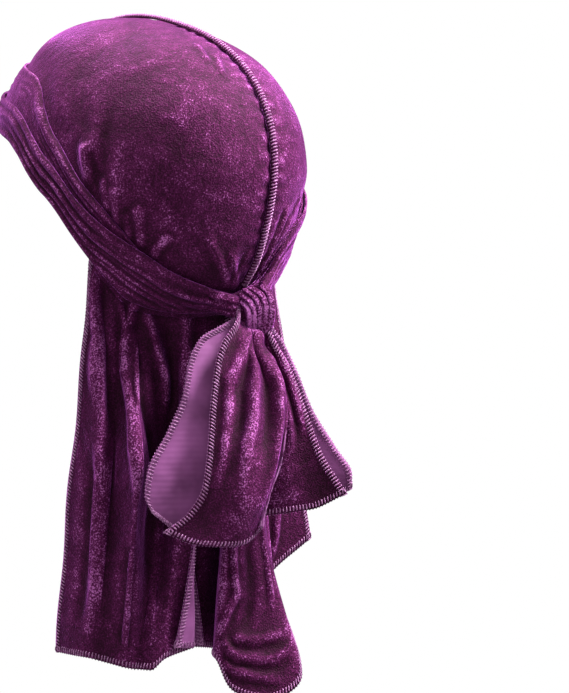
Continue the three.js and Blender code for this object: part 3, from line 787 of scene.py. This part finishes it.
# The knot
# Both straps are tied once, low at the back, and the velvet is drawn into slanting rolls, tight and
# shiny. It is built as the camera sees it: OUT points to the camera, ACROSS to the picture's right.
OUT = np.array([math.cos(CAMERA_TURN), math.sin(CAMERA_TURN), 0])
ACROSS = np.array([-OUT[1], OUT[0], 0])
DOWN = np.array([0, 0, -1.0])
KNOT_WIDTH = 16.0
KNOT_CORE = 0.8       # the share of its width that the core has without the strands
KNOT_HEIGHT = 25.0
KNOT_DEPTH = 13.0
KNOT_RISE = -0.48     # where its middle lies, a share of the half height
KNOT_ASIDE = 4.0      # how far its middle lies to the right of the seam
KNOT_ROLLS = 4
ROLL_HEIGHT = 0.10    # a share of the knot's own radius
KNOT_LEAN = 4.4       # how strongly the rolls slant
KNOT_GRID = (120, 81)  # points around, and from top to bottom
knot_reach = math.hypot(KNOT_WIDTH * ACROSS[1], KNOT_DEPTH * OUT[1]) / 2
knot_seat = SECOND_LAYER + CLOTH / 2 + 0.7 * FOLD
knot_centre = tipped(*on_form(90, KNOT_RISE, knot_seat + knot_reach)) + KNOT_ASIDE * ACROSS


def knot():
    around = np.linspace(0, 2 * math.pi, KNOT_GRID[0] + 1)[:-1][:, None]
    up = np.linspace(-math.pi / 2, math.pi / 2, KNOT_GRID[1])[None, :]
    wave = KNOT_ROLLS * around + KNOT_LEAN * up
    roll = 1 + ROLL_HEIGHT * (2 * np.abs(np.cos(wave / 2)) ** 0.8 - 1) * np.cos(up)
    girth = np.maximum(np.cos(up), 0) ** 0.75 * roll
    points = (
        knot_centre
        + (KNOT_CORE * KNOT_WIDTH / 2 * girth * np.cos(around))[..., None] * ACROSS
        + (KNOT_DEPTH / 2 * girth * np.sin(around))[..., None] * OUT
        - (KNOT_HEIGHT / 2 * np.sin(up) + 0 * around)[..., None] * DOWN
    )
    faces = quads(grid_of(points.shape, True))
    made = make_mesh("knot_core", points.reshape(-1, 3), faces.tolist(), [velvet_face])
    weld(made)
    return made


# Strands of the knot: radius, then places along each, right and down from the knot's middle
STRANDS = [
    (2.4, [(3.3, -14.4), (7.8, -9.5), (9.3, -1.7), (8.3, 7.2), (4.4, 13.3)]),
    (2.4, [(-3.3, -13.9), (3.8, -8.6), (6.0, -1.7), (5.6, 6.1), (2.2, 12.7)]),
    (2.1, [(-6.7, -12.8), (0.0, -7.4), (2.6, -1.4), (2.6, 5.4), (1.1, 10.5)]),
    (2.0, [(-8.9, -10.0), (-3.3, -5.6), (-0.6, 0.0), (-0.4, 7.6), (0.6, 12.8)]),
    (1.9, [(-8.6, -6.1), (-5.2, -2.8), (-3.6, 1.7), (-3.2, 7.2), (-0.9, 13.0)]),
    (1.3, [(-3.6, 9.5), (-2.6, 4.6), (-1.0, 3.4), (0.4, 6.1), (0.2, 11.0)]),
]
# Folds of the wraps that run on into the knot: radius, turn and rise on the cap, then right and down
ROOTS = [
    (3.2, 70, -0.450, -5.0, -5.0),
    (3.4, 71, -0.505, -5.0, 0.0),
    (3.2, 73, -0.555, -4.5, 4.5),
    (2.8, 108, -0.13, 3.0, -9.0),
    (3.0, 109, -0.23, 4.5, -6.5),
    (3.0, 109, -0.33, 5.5, -2.5),
    (3.0, 107, -0.42, 5.5, 2.0),
]
ROOT_LIFT = 0.8       # mm that the middle of a root starts above the cap, inside the wrap
# Painted light on the knot: the side of each root and strand that faces the camera gets a painted
# highlight, the side away from it painted shade, in ridge values
ROOT_SHINE = 0.7      # in ridge values
STRAND_SHINE = 2.0
STRAND_DEPTH = 5.4    # how far a strand bows out from the knot's middle, half way down it
STRAND_FOOT = 0.9     # and how far out it is more than that, all along
STRAND_END = 0.35     # how thick its ends are, where 1 is its full thickness
FLUTES = 5            # creases that run along a strand
FLUTE_HEIGHT = 0.07   # a share of the strand's radius
TUBE_STEPS = 60
TUBE_SIDES = 36


def knot_strand(radius, places):
    """A strand over the front of the knot."""
    t = np.linspace(0, 1, TUBE_STEPS)
    steps = np.linspace(0, 1, len(places))[:, None]
    rows = table("along right low", np.hstack([steps, places]))
    right, low = (column(rows, "along", way)(t)[:, None] for way in ("right", "low"))
    out = STRAND_DEPTH * np.sin(math.pi * (0.12 + 0.8 * t)) + STRAND_FOOT
    line = knot_centre + right * ACROSS + low * DOWN + out[:, None] * OUT
    return strand(radius, line, STRAND_SHINE)


def root(radius, turn, rise, right, low):
    """A fold that leaves the wrap on the cap and runs into the side of the knot."""
    t = np.linspace(0, 1, TUBE_STEPS)[:, None]
    start = tipped(*on_form(turn, rise, ROOT_LIFT))
    finish = knot_centre + right * ACROSS + low * DOWN
    bulge = tipped(*on_form(blend(turn, 90, 0.6), blend(rise, KNOT_RISE, 0.5), SECOND_LAYER + 1.0))
    line = (1 - t) ** 2 * start + 2 * t * (1 - t) * bulge + t * t * finish
    return strand(radius, line, ROOT_SHINE)


def strand(radius, line, painted_shine):
    """A rolled strand of velvet along a line, with fine creases: its tube's points, and ridge values
    that paint a highlight on its side towards the camera and shade on its back.
    """
    t = np.linspace(0, 1, TUBE_STEPS)
    along = np.gradient(line, axis=0)
    along /= np.linalg.norm(along, axis=1, keepdims=True)
    side = np.cross(along, OUT)
    side /= np.linalg.norm(side, axis=1, keepdims=True)
    front = np.cross(side, along)
    turn = np.linspace(0, 2 * math.pi, TUBE_SIDES + 1)[:-1]
    full = np.sin(math.pi * (0.06 + 0.88 * t)) ** 0.5
    girth = radius * (STRAND_END + (1 - STRAND_END) * full)
    fluted = 1 + FLUTE_HEIGHT * np.cos(FLUTES * turn[None, :] + 2.0 * t[:, None])
    ring = np.cos(turn)[None, :, None] * side[:, None] + np.sin(turn)[None, :, None] * front[:, None]
    # Painted highlight towards the camera, painted shade away from it
    ridge_light = painted_shine * (1.4 * np.sin(turn) - 0.4)[None, :] + 0 * t[:, None]
    return line[:, None] + girth[:, None, None] * fluted[..., None] * ring, ridge_light


def strand_bundle(name):
    points, faces, ridge_lights, count = [], [], [], 0
    for grid, ridge_light in [knot_strand(*row) for row in STRANDS] + [root(*row) for row in ROOTS]:
        faces += [tuple(count + v for v in f) for f in tube_faces(TUBE_STEPS, TUBE_SIDES)]
        points.append(grid.reshape(-1, 3))
        ridge_lights.append(ridge_light.ravel())
        count += TUBE_STEPS * TUBE_SIDES
    made = make_mesh(name, np.concatenate(points), faces, [velvet_face])
    mark_ridges(made, np.concatenate(ridge_lights))
    return made


knot_core = knot()
knot_strands = strand_bundle("knot_strands")
for piece in (knot_core, knot_strands):
    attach(piece, "root")
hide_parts("knot")


# The two strap ends
# Flat straps about 110 mm wide that come out of the knot gathered, then open like a trumpet.
# Their edges and rounded ends are overlocked, and the smooth back of the velvet shows inside.
END_LENGTH = 130.0
END_WIDTH = 80.0      # the length that the shares below stand for
END_GRID = (130, 120)  # points across, and from the knot to the hem
# Down from the knot as a share of END_LENGTH, then shares of END_WIDTH: how far right the back edge,
# the bend and the front edge lie, and how far out from the knot the far half and the near half lie
LEFT_END = table("down back turn front far near", [
    (0.00, -0.15, 0.00, -0.13, -0.02, 0.05),
    (0.10, -0.33, 0.05, -0.20, 0.07, 0.18),
    (0.25, -0.47, 0.15, -0.29, 0.17, 0.31),
    (0.45, -0.53, 0.20, -0.33, 0.25, 0.44),
    (0.62, -0.64, 0.17, -0.35, 0.31, 0.53),
    (0.80, -0.77, 0.09, -0.39, 0.36, 0.58),
    (0.92, -0.79, 0.04, -0.50, 0.385, 0.57),
    (1.00, -0.74, 0.02, -0.66, 0.40, 0.56),
])
RIGHT_END = table("down back turn front far near", [
    (0.00, 0.10, 0.01, 0.08, -0.07, 0.00),
    (0.13, 0.19, 0.03, 0.14, -0.04, 0.04),
    (0.32, 0.30, 0.03, 0.26, 0.00, 0.12),
    (0.54, 0.41, 0.02, 0.36, 0.02, 0.16),
    (0.76, 0.58, -0.02, 0.46, 0.00, 0.18),
    (0.92, 0.70, -0.04, 0.58, -0.02, 0.17),
    (1.00, 0.70, -0.05, 0.65, -0.04, 0.16),
])
# How long an end is at each place across, as a share of END_LENGTH
LEFT_HEM = table("across length", [
    (0.00, 0.86),
    (0.03, 0.92),
    (0.08, 0.97),
    (0.20, 0.985),
    (0.50, 0.92),
    (0.75, 1.00),
    (0.93, 0.99),
    (1.00, 0.94),
])
RIGHT_HEM = table("across length", [
    (0.00, 0.785),
    (0.04, 0.84),
    (0.14, 0.885),
    (0.50, 0.90),
    (0.92, 0.865),
    (1.00, 0.80),
])
HEM_WIDTH = 3.6       # how far the stitches reach in from an edge
KNOT_GAP = 0.4        # mm between a strap end and the knot that it comes out of
RIPPLES = 2.5         # waves across the hem
UNEVEN_SIZE = 55      # mm from one soft swell of hanging cloth to the next
UNEVEN_FROM = 0.16    # the share of its length where a sheet starts to swell
UNEVEN_FULL = 0.35    # and where it swells in full
ROUNDING = 10         # smoothing passes that round sharp bends to what this cloth can do
BEND_SHARE = 0.35     # the most that a fold rises, as a share of the radius that the cloth bends with
BEND_SPREAD = 3       # points of the grid to each side that the tightest bend counts for


def sheet_normal(middle, face):
    """Unit normals of a grid; face, 1 or -1, is the side with the pile."""
    normal = face * np.cross(np.gradient(middle, axis=0), np.gradient(middle, axis=1))
    return normal / (np.linalg.norm(normal, axis=-1, keepdims=True) + 1e-9)


def folded(middle, face, rows, unevenness, seed):
    """Adds sharp folds to a grid of middle points; rows are (height, width, path in shares)."""
    nu, nv = middle.shape[:2]
    for _ in range(ROUNDING):
        rounded = (middle[:-2] + 2 * middle[1:-1] + middle[2:]) / 4
        middle = np.concatenate([middle[:1], rounded, middle[-1:]])
    flat = np.zeros((nu, nv, 2))
    flat[1:, :, 0] = np.cumsum(np.linalg.norm(np.diff(middle, axis=0), axis=-1), axis=0)
    flat[..., 0] -= flat[nu // 2, :, 0]
    flat[:, 1:, 1] = np.cumsum(np.linalg.norm(np.diff(middle, axis=1), axis=-1), axis=1)
    lines = []
    for height, width, path in rows:
        spots = [flat[round(u * (nu - 1)), round(v * (nv - 1))] for u, v in path]
        lines.append((height, width, np.array(spots), path[0][1] == 0.0))
    free = ease(np.linspace(0, 1, nv), UNEVEN_FROM, UNEVEN_FULL)[None, :]
    height = creases(flat, lines) + unevenness * wander(middle, UNEVEN_SIZE, seed) * free
    across = np.gradient(middle, axis=0)
    normal = sheet_normal(middle, face)
    turning = np.einsum("...i,...i", np.gradient(across, axis=0), normal)
    bend = turning / (np.einsum("...i,...i", across, across) + 1e-6)
    for _ in range(BEND_SPREAD):
        wide = np.pad(bend, ((1, 1), (0, 0)), mode="edge")
        bend = np.where(bend > 0, np.maximum(wide[:-2], wide[2:]), np.minimum(wide[:-2], wide[2:]))
    room = BEND_SHARE / (np.abs(bend) + 1e-6)
    height = np.where(height * bend > 0, np.sign(height) * np.minimum(np.abs(height), room), height)
    return middle + height[..., None] * normal


def thick(name, middle, face):
    """Gives a grid of middle points its cloth thickness."""
    normal = sheet_normal(middle, face)
    return cloth_between(name, middle - normal * CLOTH / 2, middle + normal * CLOTH / 2), normal


def strap_end(rows, hem, start, finish, ripples):
    """The middle of an end: it starts on the knot from one degree to another, right 0 and down 90."""
    read = {key: column(rows, "down", key) for key in rows}
    length = column(hem, "across", "length")
    u = np.linspace(0, 1, END_GRID[0])[:, None]
    v = np.linspace(0, 1, END_GRID[1])[None, :]
    margin = KNOT_GAP + CLOTH / 2
    round_ = np.sin(math.pi * u) ** 0.8
    side = np.where(u > 0.5, read["front"](v), read["back"](v))
    place = np.radians(blend(start, finish, round_))
    free = ease(v, 0, 0.16)
    start_aside = (KNOT_WIDTH * (1 + ROLL_HEIGHT) / 2 + margin) * np.cos(place)
    start_drop = (KNOT_HEIGHT / 2 + margin) * np.sin(place)
    aside = blend(start_aside, END_WIDTH * blend(side, read["turn"](v), round_), free)
    drop = blend(start_drop, END_LENGTH * length(u), v)
    wave = ripples * np.sin(2 * math.pi * (RIPPLES * u + 0.15)) * ease(v, 0.1, 0.6)
    out = END_WIDTH * blend(read["far"](v), read["near"](v), ease(u, 0.30, 0.70)) + wave
    return knot_centre + aside[..., None] * ACROSS + out[..., None] * OUT + drop[..., None] * DOWN


# One overlock stitch round an edge: hem widths inwards, half thicknesses of the cloth up, and its lean
EDGE_STITCH = [
    (1.0, 1.0, 0.5), (0.75, 1.35, 0.3), (0.3, 1.35, 0.1), (-0.06, 0.0, 0.0),
    (0.3, -1.35, -0.1), (0.75, -1.35, -0.3), (1.0, -1.0, -0.5),
]
EDGE_LEAN = 1.2       # points of the edge that a lean of 1 stands for


def overlock(name, middle, normal):
    """Overlock stitches that wrap both side edges and the hem of a sheet, one joined mesh."""
    every_points, every_faces, count = [], [], 0
    for line, inward, face in (
        (middle[0], middle[1] - middle[0], normal[0]),
        (middle[-1], middle[-2] - middle[-1], normal[-1]),
        (middle[:, -1], middle[:, -2] - middle[:, -1], normal[:, -1]),
    ):
        inward = inward / (np.linalg.norm(inward, axis=-1, keepdims=True) + 1e-9)
        rows = resampled(line, STITCH_PITCH)
        paths = []
        for depth, height, lean in EDGE_STITCH:
            shifted = np.clip(rows + lean * EDGE_LEAN, 0, len(line) - 1.001)
            spot = at_rows(line, shifted) + HEM_WIDTH * depth * at_rows(inward, shifted)
            paths.append(spot + (CLOTH / 2) * height * at_rows(face, shifted))
        points, faces = threads(np.stack(paths, 1))
        every_points.append(points)
        every_faces += [tuple(v + count for v in f) for f in faces]
        count += len(points)
    return make_mesh(name, np.concatenate(every_points), every_faces, [thread])


# Folds of the ends: height, width, then across and down along each, as shares of the sheet
LEFT_END_FOLDS = [
    (2.2, 1.8, [(0.44, 0.0), (0.45, 0.08), (0.46, 0.22)]),
    (2.4, 1.8, [(0.60, 0.0), (0.63, 0.10), (0.67, 0.26)]),
    (2.2, 1.8, [(0.74, 0.0), (0.87, 0.10), (0.90, 0.24)]),
    (4.2, 3.4, [(0.55, 0.0), (0.535, 0.143), (0.60, 0.277), (0.68, 0.50), (0.68, 0.86)]),
    (-3.0, 4.2, [(0.64, 0.02), (0.69, 0.20), (0.74, 0.36), (0.79, 0.66)]),
    (3.8, 3.0, [(0.66, 0.0), (0.80, 0.16), (0.83, 0.30), (0.87, 0.55), (0.86, 0.80)]),
    (3.0, 3.0, [(0.80, 0.0), (0.91, 0.16), (0.955, 0.30), (0.955, 0.54), (0.95, 0.90)]),
    (-2.0, 3.4, [(0.86, 0.08), (0.90, 0.30), (0.91, 0.60)]),
    (-2.0, 4.0, [(0.20, 0.45), (0.16, 0.70), (0.12, 0.92)]),
]
RIGHT_END_FOLDS = [
    (3.0, 2.8, [(0.86, 0.0), (0.88, 0.20), (0.90, 0.42), (0.89, 0.74)]),
    (2.6, 2.6, [(0.97, 0.0), (0.975, 0.25), (0.97, 0.45), (0.96, 0.68)]),
    (-2.4, 3.6, [(0.80, 0.02), (0.80, 0.30), (0.78, 0.70)]),
    (2.4, 3.4, [(0.70, 0.0), (0.69, 0.30), (0.66, 0.80)]),
]
left_middle = folded(
    strap_end(LEFT_END, LEFT_HEM, start=192, finish=96, ripples=4.0),
    face=1, rows=LEFT_END_FOLDS, unevenness=0.8, seed=31,
)
right_middle = folded(
    strap_end(RIGHT_END, RIGHT_HEM, start=8, finish=78, ripples=2.0),
    face=-1, rows=RIGHT_END_FOLDS, unevenness=0.8, seed=41,
)
for name, node, middle, face, flat, area in (
    ("strap_end_a", "strap_end_left", left_middle, 1, (0.12, 0.14), 0.0145),
    ("strap_end_b", "strap_end_right", right_middle, -1, (0.10, 0.12), 0.0085),
):
    end, normal = thick(name, middle, face)
    hem = overlock(name + "_hem", middle, normal)
    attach(end, "root")
    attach(hem, "root")
    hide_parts(node)


# The tail
# The back of the cap runs on below the straps as a long flap, split at the middle into two panels.
# Each hangs in deep folds, with overlocked edges and the smooth back of the velvet inside.
TAIL_TOP = 0.9        # how far below the egg's middle TAIL_LENGTH starts, a share of the half height
TAIL_LENGTH = 205.0
TAIL_REACH = 190.0    # the length that the shares below stand for
TAIL_GRID = (170, 140)  # points across, and from the rim to the hem
RIM_GAP = 2.0         # between the cap's rim and the upper edge of the tail
HANG = 0.16           # the share of its length over which the tail lies under the straps
BELOW_STRAP = 0.06    # the share of the half height where it still lies close, below the straps
TAIL_MID = 0.45       # how far down the rest the middle line of the tables is
# Across a panel: where its middle line and its hem run, its length, and how fast it falls at the middle
LEFT_TAIL = table("across mid_x mid_y hem_x hem_y hem swing", [
    (0.00, 0.362, 0.067, 0.345, -0.023, 0.93, 1.40),
    (0.12, 0.372, 0.185, 0.36, 0.112, 0.93, 1.20),
    (0.22, 0.31, 0.191, 0.339, 0.169, 0.94, 1.00),
    (0.33, 0.329, 0.307, 0.322, 0.236, 0.95, 0.90),
    (0.47, 0.19, 0.249, 0.28, 0.254, 0.96, 0.80),
    (0.62, 0.15, 0.254, 0.265, 0.301, 0.96, 0.80),
    (0.74, 0.168, 0.329, 0.229, 0.317, 0.93, 0.80),
    (0.86, 0.161, 0.364, 0.13, 0.339, 0.91, 0.80),
    (0.93, 0.141, 0.373, 0.15, 0.357, 0.905, 0.80),
    (1.00, 0.119, 0.386, 0.206, 0.34, 0.90, 0.80),
])
RIGHT_TAIL = table("across mid_x mid_y hem_x hem_y hem swing", [
    (0.00, 0.115, 0.308, 0.099, 0.359, 0.90, 0.80),
    (0.07, 0.091, 0.314, 0.118, 0.286, 0.91, 0.80),
    (0.15, 0.037, 0.327, 0.045, 0.297, 0.92, 0.80),
    (0.28, -0.039, 0.311, -0.069, 0.284, 0.94, 0.80),
    (0.40, 0.044, 0.412, 0.109, 0.41, 0.93, 0.40),
    (0.48, 0.014, 0.421, 0.088, 0.46, 1.02, 0.30),
    (0.57, -0.028, 0.428, 0.009, 0.541, 1.05, 0.20),
    (0.66, -0.063, 0.413, -0.08, 0.602, 0.99, 0.10),
    (0.71, -0.099, 0.386, -0.10, 0.53, 0.87, 0.30),
    (0.76, -0.14, 0.357, -0.136, 0.438, 0.78, 0.60),
    (0.82, -0.184, 0.339, -0.176, 0.371, 0.74, 0.80),
    (1.00, -0.301, 0.349, -0.325, 0.424, 0.63, 0.80),
])


def swung(top, mid, hem, swing, t):
    """A smooth fall from top through mid to hem; swing is how fast it moves on at mid length."""
    pace = swing * (hem - top)
    a = np.clip(t / TAIL_MID, 0, 1)
    b = np.clip((t - TAIL_MID) / (1 - TAIL_MID), 0, 1)
    upper = hermite(top, mid, 0.5 * (mid - top), pace * TAIL_MID, a)
    lower = hermite(mid, hem, pace * (1 - TAIL_MID), (hem - mid) * (2 - swing), b)
    return np.where(t < TAIL_MID, upper, lower)


# Folds of the tail, as for the ends
LEFT_TAIL_FOLDS = [
    (3.4, 3.6, [(0.06, 0.10), (0.077, 0.295), (0.071, 0.46)]),
    (-2.6, 4.5, [(0.13, 0.12), (0.15, 0.30), (0.17, 0.52)]),
    (3.4, 3.4, [(0.20, 0.11), (0.268, 0.22), (0.268, 0.324), (0.31, 0.489), (0.34, 0.66)]),
    (3.0, 2.8, [(0.34, 0.11), (0.31, 0.17), (0.275, 0.25)]),
    (-2.6, 5.0, [(0.37, 0.16), (0.39, 0.35), (0.43, 0.55), (0.45, 0.80)]),
    (4.0, 3.4, [(0.40, 0.11), (0.479, 0.23), (0.556, 0.32), (0.60, 0.44)]),
    (-2.8, 4.5, [(0.56, 0.14), (0.64, 0.30), (0.66, 0.60)]),
    (3.0, 3.4, [(0.70, 0.11), (0.72, 0.22), (0.74, 0.36)]),
    (2.4, 5.5, [(0.10, 0.50), (0.16, 0.68), (0.22, 0.99)]),
    (-2.6, 6.0, [(0.06, 0.52), (0.09, 0.75), (0.10, 0.99)]),
    (-2.6, 6.0, [(0.30, 0.70), (0.32, 0.85), (0.34, 0.99)]),
    (2.6, 5.5, [(0.50, 0.55), (0.527, 0.748), (0.58, 0.99)]),
]
RIGHT_TAIL_FOLDS = [
    (2.6, 2.8, [(0.456, 0.62), (0.462, 0.741), (0.485, 0.806), (0.43, 0.90), (0.39, 0.97)]),
    (2.4, 3.2, [(0.66, 0.62), (0.66, 0.75), (0.63, 0.86)]),
    (2.4, 2.8, [(0.42, 0.94), (0.50, 0.925), (0.60, 0.93), (0.68, 0.965)]),
    (2.0, 2.4, [(0.44, 0.975), (0.53, 0.96), (0.62, 0.975)]),
    (2.2, 2.6, [(0.47, 0.90), (0.56, 0.885), (0.65, 0.91)]),
    (-2.2, 3.8, [(0.55, 0.66), (0.55, 0.80), (0.52, 0.88)]),
    (2.6, 3.4, [(0.92, 0.62), (0.88, 0.85), (0.84, 0.99)]),
    (2.4, 3.4, [(0.80, 0.62), (0.78, 0.83), (0.75, 0.96)]),
    (3.0, 3.4, [(0.30, 0.11), (0.28, 0.25), (0.26, 0.42)]),
]


def tail_panel(rows, start, finish):
    """The middle of a tail panel that starts under the straps from one turn to another."""
    read = {key: column(rows, "across", key) for key in rows}
    u = np.linspace(0, 1, TAIL_GRID[0])[:, None]
    v = np.linspace(0, 1, TAIL_GRID[1])[None, :]
    turn = blend(start, finish, u)
    under = over_low(turn) - BELOW_STRAP
    rise = blend(rim(turn) - RIM_GAP / HALF_HEIGHT, under, np.minimum(v / HANG, 1))
    top = tipped(*on_form(np.broadcast_to(turn, rise.shape), rise, -CLOTH / 2))
    t = np.clip((v - HANG) / (1 - HANG), 0, 1)
    lowest = -SEAT - TAIL_TOP * HALF_HEIGHT - TAIL_LENGTH * read["hem"](u)
    swing = read["swing"](u)
    spots = []
    for i, way in enumerate("xy"):
        mid, hem = (TAIL_REACH * read[line + way](u) for line in ("mid_", "hem_"))
        spots.append(swung(top[..., i], mid, hem, swing, t))
    return np.stack([*spots, blend(top[..., 2], lowest, t)], -1)


left_fall = folded(
    tail_panel(LEFT_TAIL, start=20.0, finish=94.4),
    face=-1, rows=LEFT_TAIL_FOLDS, unevenness=1.3, seed=51,
)
right_fall = folded(
    tail_panel(RIGHT_TAIL, start=94.6, finish=152.0),
    face=-1, rows=RIGHT_TAIL_FOLDS, unevenness=0.4, seed=61,
)
for name, node, middle, flat, area in (
    ("tail_left", "tail_left_panel", left_fall, (0.12, 0.29), 0.026),
    ("tail_right", "tail_right_panel", right_fall, (0.12, 0.31), 0.029),
):
    panel, normal = thick(name, middle, -1)
    hem = overlock(name + "_hem", middle, normal)
    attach(panel, "root")
    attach(hem, "root")
    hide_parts(node)


# The studio
# A plain white sweep that the camera sees as pure white, and three soft square lights: the key above
# and to the right, one over the crown, and a weak one at the left that lifts the shadows.
FILL = 0.23           # how bright the room is for the cloth, where the backdrop that is seen is 1
FLOOR_DROP = 900.0    # mm between the lowest point of the tail and the floor
floor_z = cad_box[0][2] - FLOOR_DROP / 1000
bpy.ops.mesh.primitive_plane_add(size=60, location=(0, 0, floor_z))
floor = bpy.context.object
floor.name = "floor"
WHITE = (1, 1, 1, 1)


def white_when_seen(tree, shader, glow, output):
    """Shows plain white to the camera, and the shader to everything else."""
    seen = add_node(tree, "ShaderNodeLightPath").outputs["Is Camera Ray"]
    white = add_node(tree, glow, Color=WHITE, Strength=1.0)
    both = add_node(tree, "ShaderNodeMixShader", {0: seen, 1: shader.outputs[0], 2: white.outputs[0]})
    add_node(tree, output, {"Surface": both.outputs[0]})


paper, tree = new_material("white_paper")
lit = add_node(tree, "ShaderNodeBsdfDiffuse", Color=(0.6, 0.6, 0.6, 1))
white_when_seen(tree, lit, "ShaderNodeEmission", "ShaderNodeOutputMaterial")
floor.data.materials.append(paper)

world = bpy.data.worlds.new("studio")
bpy.context.scene.world = world
world.use_nodes = True
world.node_tree.nodes.clear()
room = add_node(world.node_tree, "ShaderNodeBackground", Color=WHITE, Strength=FILL)
white_when_seen(world.node_tree, room, "ShaderNodeBackground", "ShaderNodeOutputWorld")


LIT = Vector((0, 0, -0.15))  # metres, the place that the lights point at


def soft_light(name, place, size, power):
    """A square light: its place and size in metres, its power in watts."""
    light = bpy.data.lights.new(name, "AREA")
    light.size = size
    light.energy = power
    lamp = bpy.data.objects.new(name, light)
    bpy.context.scene.collection.objects.link(lamp)
    lamp.location = place
    lamp.rotation_euler = (LIT - Vector(place)).to_track_quat("-Z", "Y").to_euler()


def placed(right, out, up):
    """A place, given in metres to the picture's right, towards the camera and up."""
    spot = rightward * right + Vector((towards.x, towards.y, 0)) * out
    return (spot.x, spot.y, up)


soft_light("key", placed(0.75, 0.12, 0.75), 0.4, 45)
soft_light("top", placed(-0.22, -0.08, 0.95), 0.6, 30)
soft_light("fill", placed(-0.7, 1.2, 0.5), 0.8, 5)
bpy.context.scene.view_settings.view_transform = "Standard"
